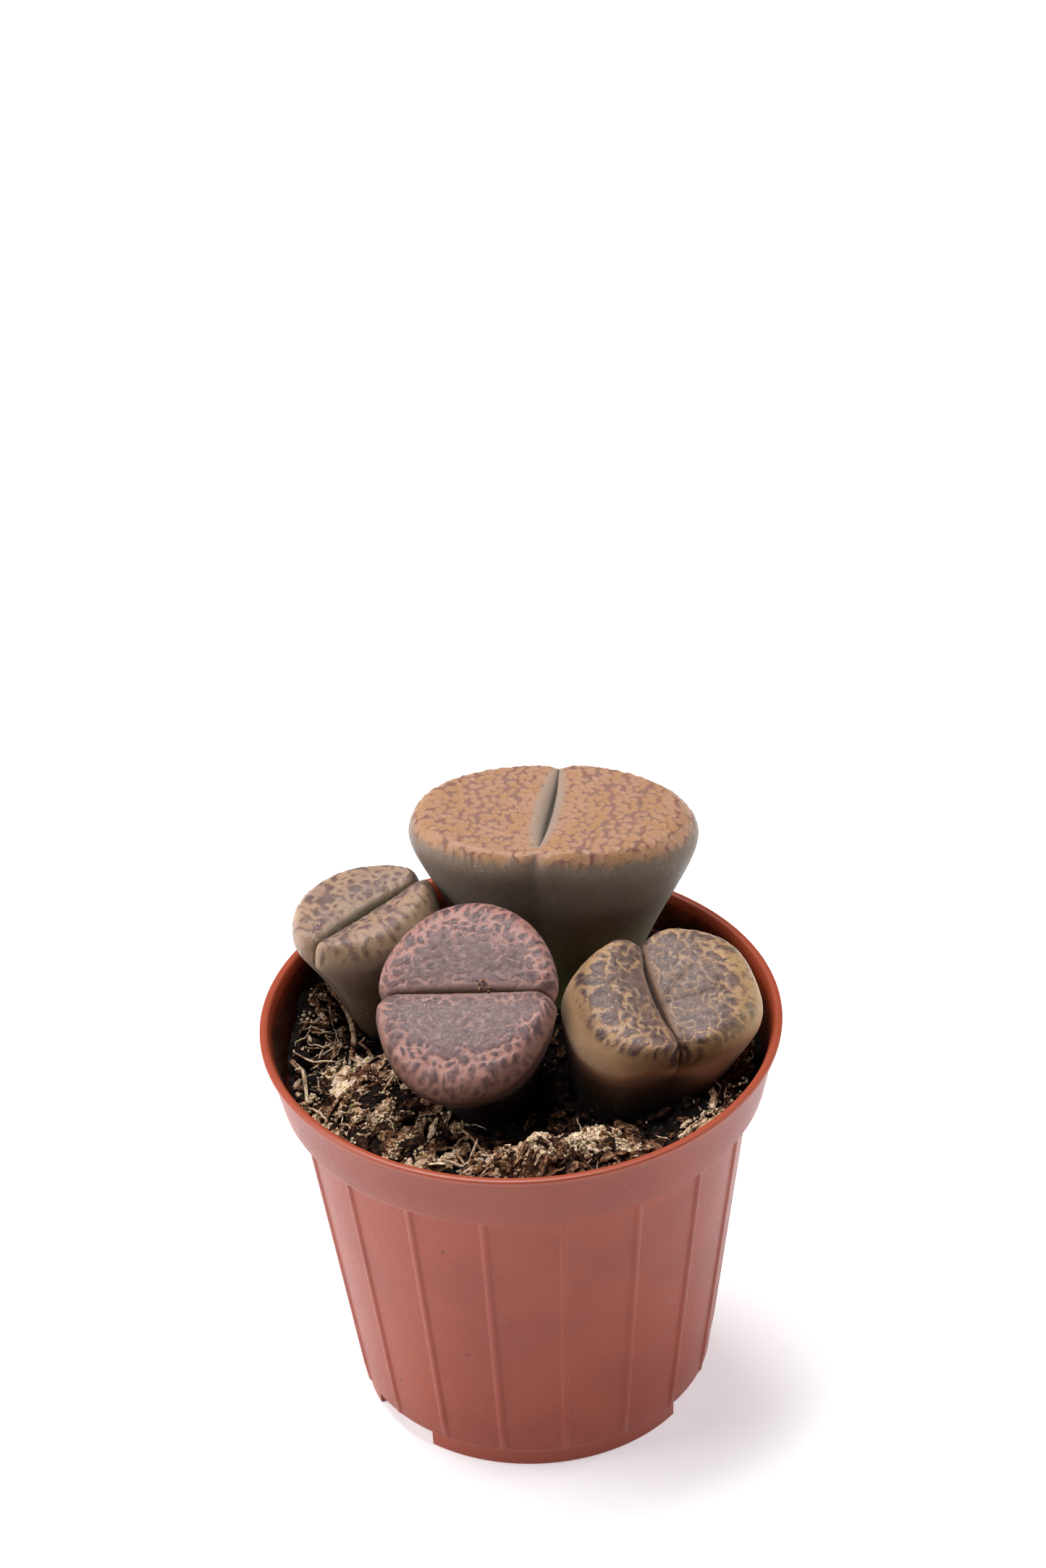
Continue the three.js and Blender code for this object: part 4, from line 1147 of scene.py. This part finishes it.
def soil_finish():
    """Black-brown peat with brown crumbs and a few pale specks."""
    f = Finish("peat", Roughness=0.85, Specular_IOR_Level=0.15)
    broad, fine = f.noise(1.0, 4, 0.7), f.noise(0.25, 4, 0.7)
    colour = f.blend(paint(20, 14, 13), paint(84, 64, 56), broad, 0.48, 0.7)
    colour = f.blend(colour, paint(8, 6, 5), fine, 0.45, 0.65, 0.7)
    speck = f.times(f.dots(0.8, 0.12), f.step(f.noise(2.5, 2), 0.5, 0.6))
    return f.give(Base_Color=f.mix(colour, paint(176, 154, 124), speck), Normal=f.bumps((fine, 0.15)))


# Studio: the camera in millimetres and degrees, its focal length and picture in pixels, the room in metres

CAMERA = Record(focal=9000.0, distance=666.6, elevation=35.23, target=(1.32, 0, 76.06), roll=-2.516)
IMAGE = (1445, 2167)
SENSOR = 36.0
FLOOR_HALF = 3.0
FLOOR_GLOW = 0.45
WALL_FRONT = 0.2
WALL_BACK = 1.0

# Lights: name, place, what it looks at, its two sides, power
LIGHTS = (
    ("overhead", (-0.2, 0.25, 1.2), (0, 0, 0), (0.75, 0.7), 19),
    ("left_box", (-1.1, -0.05, 0.55), (0, 0, 0.04), (0.9, 0.8), 12),
    ("right_box", (1.1, 0.2, 0.5), (0, 0, 0.04), (0.8, 0.6), 6),
)


def add_camera():
    lift, roll = math.radians(CAMERA.elevation), math.radians(CAMERA.roll)
    data = bpy.data.cameras.new("camera")
    data.sensor_width = SENSOR
    data.lens = CAMERA.focal * SENSOR / max(IMAGE)
    data.clip_start, data.clip_end = 0.05, 20
    camera = put("camera", data)
    place = Vector(CAMERA.target) + CAMERA.distance * Vector((0, -math.cos(lift), math.sin(lift)))
    turned = Matrix.Rotation(math.pi / 2 - lift, 4, "X") @ Matrix.Rotation(roll, 4, "Z")
    camera.matrix_world = Matrix.Translation(place * MM) @ turned
    bpy.context.scene.camera = camera


def add_light(name, place, aim, sides, power):
    data = bpy.data.lights.new(name, "AREA")
    data.shape, (data.size, data.size_y), data.energy = "RECTANGLE", sides, power
    light = put(name, data)
    light.location = place
    light.rotation_euler = (Vector(aim) - Vector(place)).to_track_quat("-Z", "Y").to_euler()


def add_surroundings():
    """White walls all round, dimmer on the camera's side of the room."""
    world = bpy.data.worlds.new("studio")
    bpy.context.scene.world = world
    room = Nodes(world)
    way = room.node("ShaderNodeTexCoord", {}, "Generated")
    backwards = room.node("ShaderNodeSeparateXYZ", {0: way}, "Y")
    light = room.step(backwards, -1.0, 0.2, WALL_FRONT, WALL_BACK)
    room.feed(world.node_tree.nodes["Background"].inputs["Strength"], light)


def add_studio():
    """A white floor, three soft lights and the room's walls."""
    corners = FLOOR_HALF / MM * np.array([(-1, -1, 0), (1, -1, 0), (1, 1, 0), (-1, 1, 0)])
    mesh = make_mesh("floor", corners, [np.array([[0, 1, 2, 3]])], smooth=False)
    floor = put("floor", mesh)
    f = Finish("floor", Roughness=0.8, Specular_IOR_Level=0.2, Emission_Strength=FLOOR_GLOW)
    white = f.mix((0.9, 0.9, 0.9, 1), (0.92, 0.92, 0.92, 1), f.noise(80, 2))
    mesh.materials.append(f.give(Emission_Color=(0.96, 0.95, 1.0, 1), Base_Color=white))
    for light in LIGHTS:
        add_light(*light)
    add_surroundings()
    view = bpy.context.scene.view_settings
    view.view_transform = "Standard"
    view.look = "None"


def leaf_look(**own):
    """A plant's look: its own, and for the rest what most plants share. `limit` is how far past the flat face
    the pattern reaches, a range says between which millimetres of the skin one colour gives way to the next,
    `side` is a ramp from under the edge (0) to the soil (1), partly the side's own colour and partly painted
    shade and light, and `paler` is where along x a side stays paler further down, and by how much, which is
    painted light."""
    shared = dict(
        sheen=0.1, pattern=pattern_blotches, mesh_size=1.1, limit_slope=(0, 0), limit_bulge=0.0, creases=(),
        crease=None, paler=None, deep_share=0.9, tint_share=0.5)
    return Record(**{**shared, **own})


LOOKS = dict(
    plant_back=leaf_look(
        slot="leaf_orange", sheen=0.18, count=480, rows=dict(face=92, turn=26, side=34),
        pattern=pattern_islands, limit=0.7, pale=(paint(198, 146, 102), paint(202, 151, 118)),
        dark=(paint(168, 114, 90), paint(158, 106, 90)), deep=paint(144, 94, 80), deep_share=0.7, soft=0.07,
        fray=0.14,
        clear=(paint(172, 126, 106), paint(162, 118, 106)), clear_share=0.7, hush=0.0,
        tint=paint(150, 142, 116), tint_share=0.0,
        band=paint(146, 124, 102), band_range=(0.2, 3.0), fade_range=(-0.9, 0.35),
        # the side grows lighter and greener towards the soil: partly the skin's own green, partly painted
        # light shining through
        side=((0.0, paint(128, 110, 96)), (0.35, paint(126, 109, 92)), (0.7, paint(146, 136, 98, 0.8)),
              (1.0, paint(146, 150, 80, 1.0))),
        rim=paint(186, 158, 138), rim_range=(-0.6, 0.1),
        wall=paint(176, 158, 140), wall_deep=paint(120, 104, 88), wall_range=(0.4, 1.2)),
    plant_left=leaf_look(
        slot="leaf_olive", count=340, rows=dict(face=60, turn=20, side=26), seed=101, limit=2.5,
        lines=(0.26, 0.18, 2.0, 6.0), window=(4.0, 8.0), tint_way=(1, 0),
        pale=(paint(196, 160, 128), paint(184, 148, 124)), dark=(paint(140, 109, 99), paint(130, 98, 91)),
        deep=paint(108, 79, 76), deep_share=0.7, soft=0.17, fray=0.15,
        clear=(paint(158, 130, 116), paint(148, 122, 110)), clear_share=0.3, hush=0.3,
        tint=paint(184, 156, 104), tint_share=0.2,
        band=paint(166, 138, 116), band_range=(0.0, 2.2), fade_range=(-0.4, 0.5),
        # the side darkens towards the soil with painted shade
        side=((0.0, paint(160, 132, 114)), (0.4, paint(140, 110, 88)), (1.0, paint(116, 90, 60))),
        rim=paint(166, 140, 116), rim_range=(-0.3, 0.2),
        wall=paint(128, 114, 92), wall_deep=paint(96, 84, 66), wall_range=(0.1, 0.9)),
    plant_front=leaf_look(
        slot="leaf_mauve", sheen=0.04, count=400, rows=dict(face=75, turn=20, side=26), seed=201, limit=2.9,
        lines=(0.19, 0.06, 2.6, 7.2), window=(4.2, 7.8), tint_way=(-1, 0),
        pale=(paint(202, 147, 133), paint(186, 133, 121)), dark=(paint(138, 102, 100), paint(126, 90, 88)),
        deep=paint(98, 68, 72), soft=0.12, fray=0.3,
        clear=(paint(142, 114, 111), paint(110, 82, 82)), clear_share=0.75, hush=0.78,
        # tint, band and side are painted shade: the near leaf's lower edge, the rounding under it, and the
        # side down to the soil darker
        tint=paint(148, 104, 82),
        band=paint(88, 54, 48), band_range=(-0.7, 0.8), fade_range=(-0.3, 0.6),
        side=((0.0, paint(84, 46, 42)), (0.2, paint(60, 32, 28)), (1.0, paint(32, 16, 12))),
        rim=paint(158, 122, 112), rim_range=(-0.4, 0.1),
        wall=paint(140, 108, 96), wall_deep=paint(90, 62, 52), wall_range=(0.3, 1.3)),
    plant_right=leaf_look(
        slot="leaf_tan", count=380, rows=dict(face=70, turn=20, side=26), seed=301, limit=2.3,
        limit_slope=(0.3, 0.35), limit_bulge=0.4, lines=(0.2, 0.07, 1.8, 5.0), window=(4.0, 7.6),
        tint_way=(0.6, -0.8),
        # wrinkles of the leaves, as broken lines on the face with a width each
        creases=(
            (((-0.3, -1.2), (1.0, -1.25), (2.4, -1.3), (3.8, -1.5), (4.6, -1.3), (5.9, -1.1)), 0.26),
            (((0.2, -0.4), (0.9, 0.1), (2.3, 1.2), (3.8, 2.2)), 0.2),
            (((-1.0, -2.1), (-1.5, -1.5), (-2.2, -0.1), (-2.7, 1.3), (-3.1, 2.0)), 0.2),
            (((-1.0, -2.6), (-1.9, -2.3), (-3.1, -1.8)), 0.16)),
        # the wrinkles' painted shade
        crease=paint(80, 60, 50),
        pale=(paint(212, 168, 120), paint(196, 153, 112)), dark=(paint(136, 104, 92), paint(122, 92, 82)),
        deep=paint(92, 64, 62), soft=0.16, fray=0.4,
        clear=(paint(136, 111, 99), paint(104, 80, 70)), clear_share=0.6, hush=0.5, tint=paint(196, 158, 90),
        band=paint(222, 178, 134, 0.7), band_range=(0.8, 3.2), fade_range=(-0.6, 1.1),
        # the side is painted light under the edge and painted shade towards the soil, and paler is painted
        # light on this plant's right
        side=((0.0, paint(236, 192, 156, 0.75)), (0.14, paint(188, 146, 116)), (0.34, paint(110, 76, 58)),
              (0.55, paint(64, 42, 30)), (0.8, paint(26, 15, 10)), (1.0, paint(20, 11, 7))),
        paler=(13.5, 21.0, 0.0, 0.4), rim=paint(150, 118, 94), rim_range=(-0.2, 0.2),
        wall=paint(124, 88, 68), wall_deep=paint(60, 34, 26), wall_range=(0.2, 0.9)),
)

add_camera()
add_studio()
add_pot()
add_soil()
add_bark()
add_grit()
add_fibres()
add_crust()
add_crust_litter()
for node, look in LOOKS.items():
    add_head(node, look)
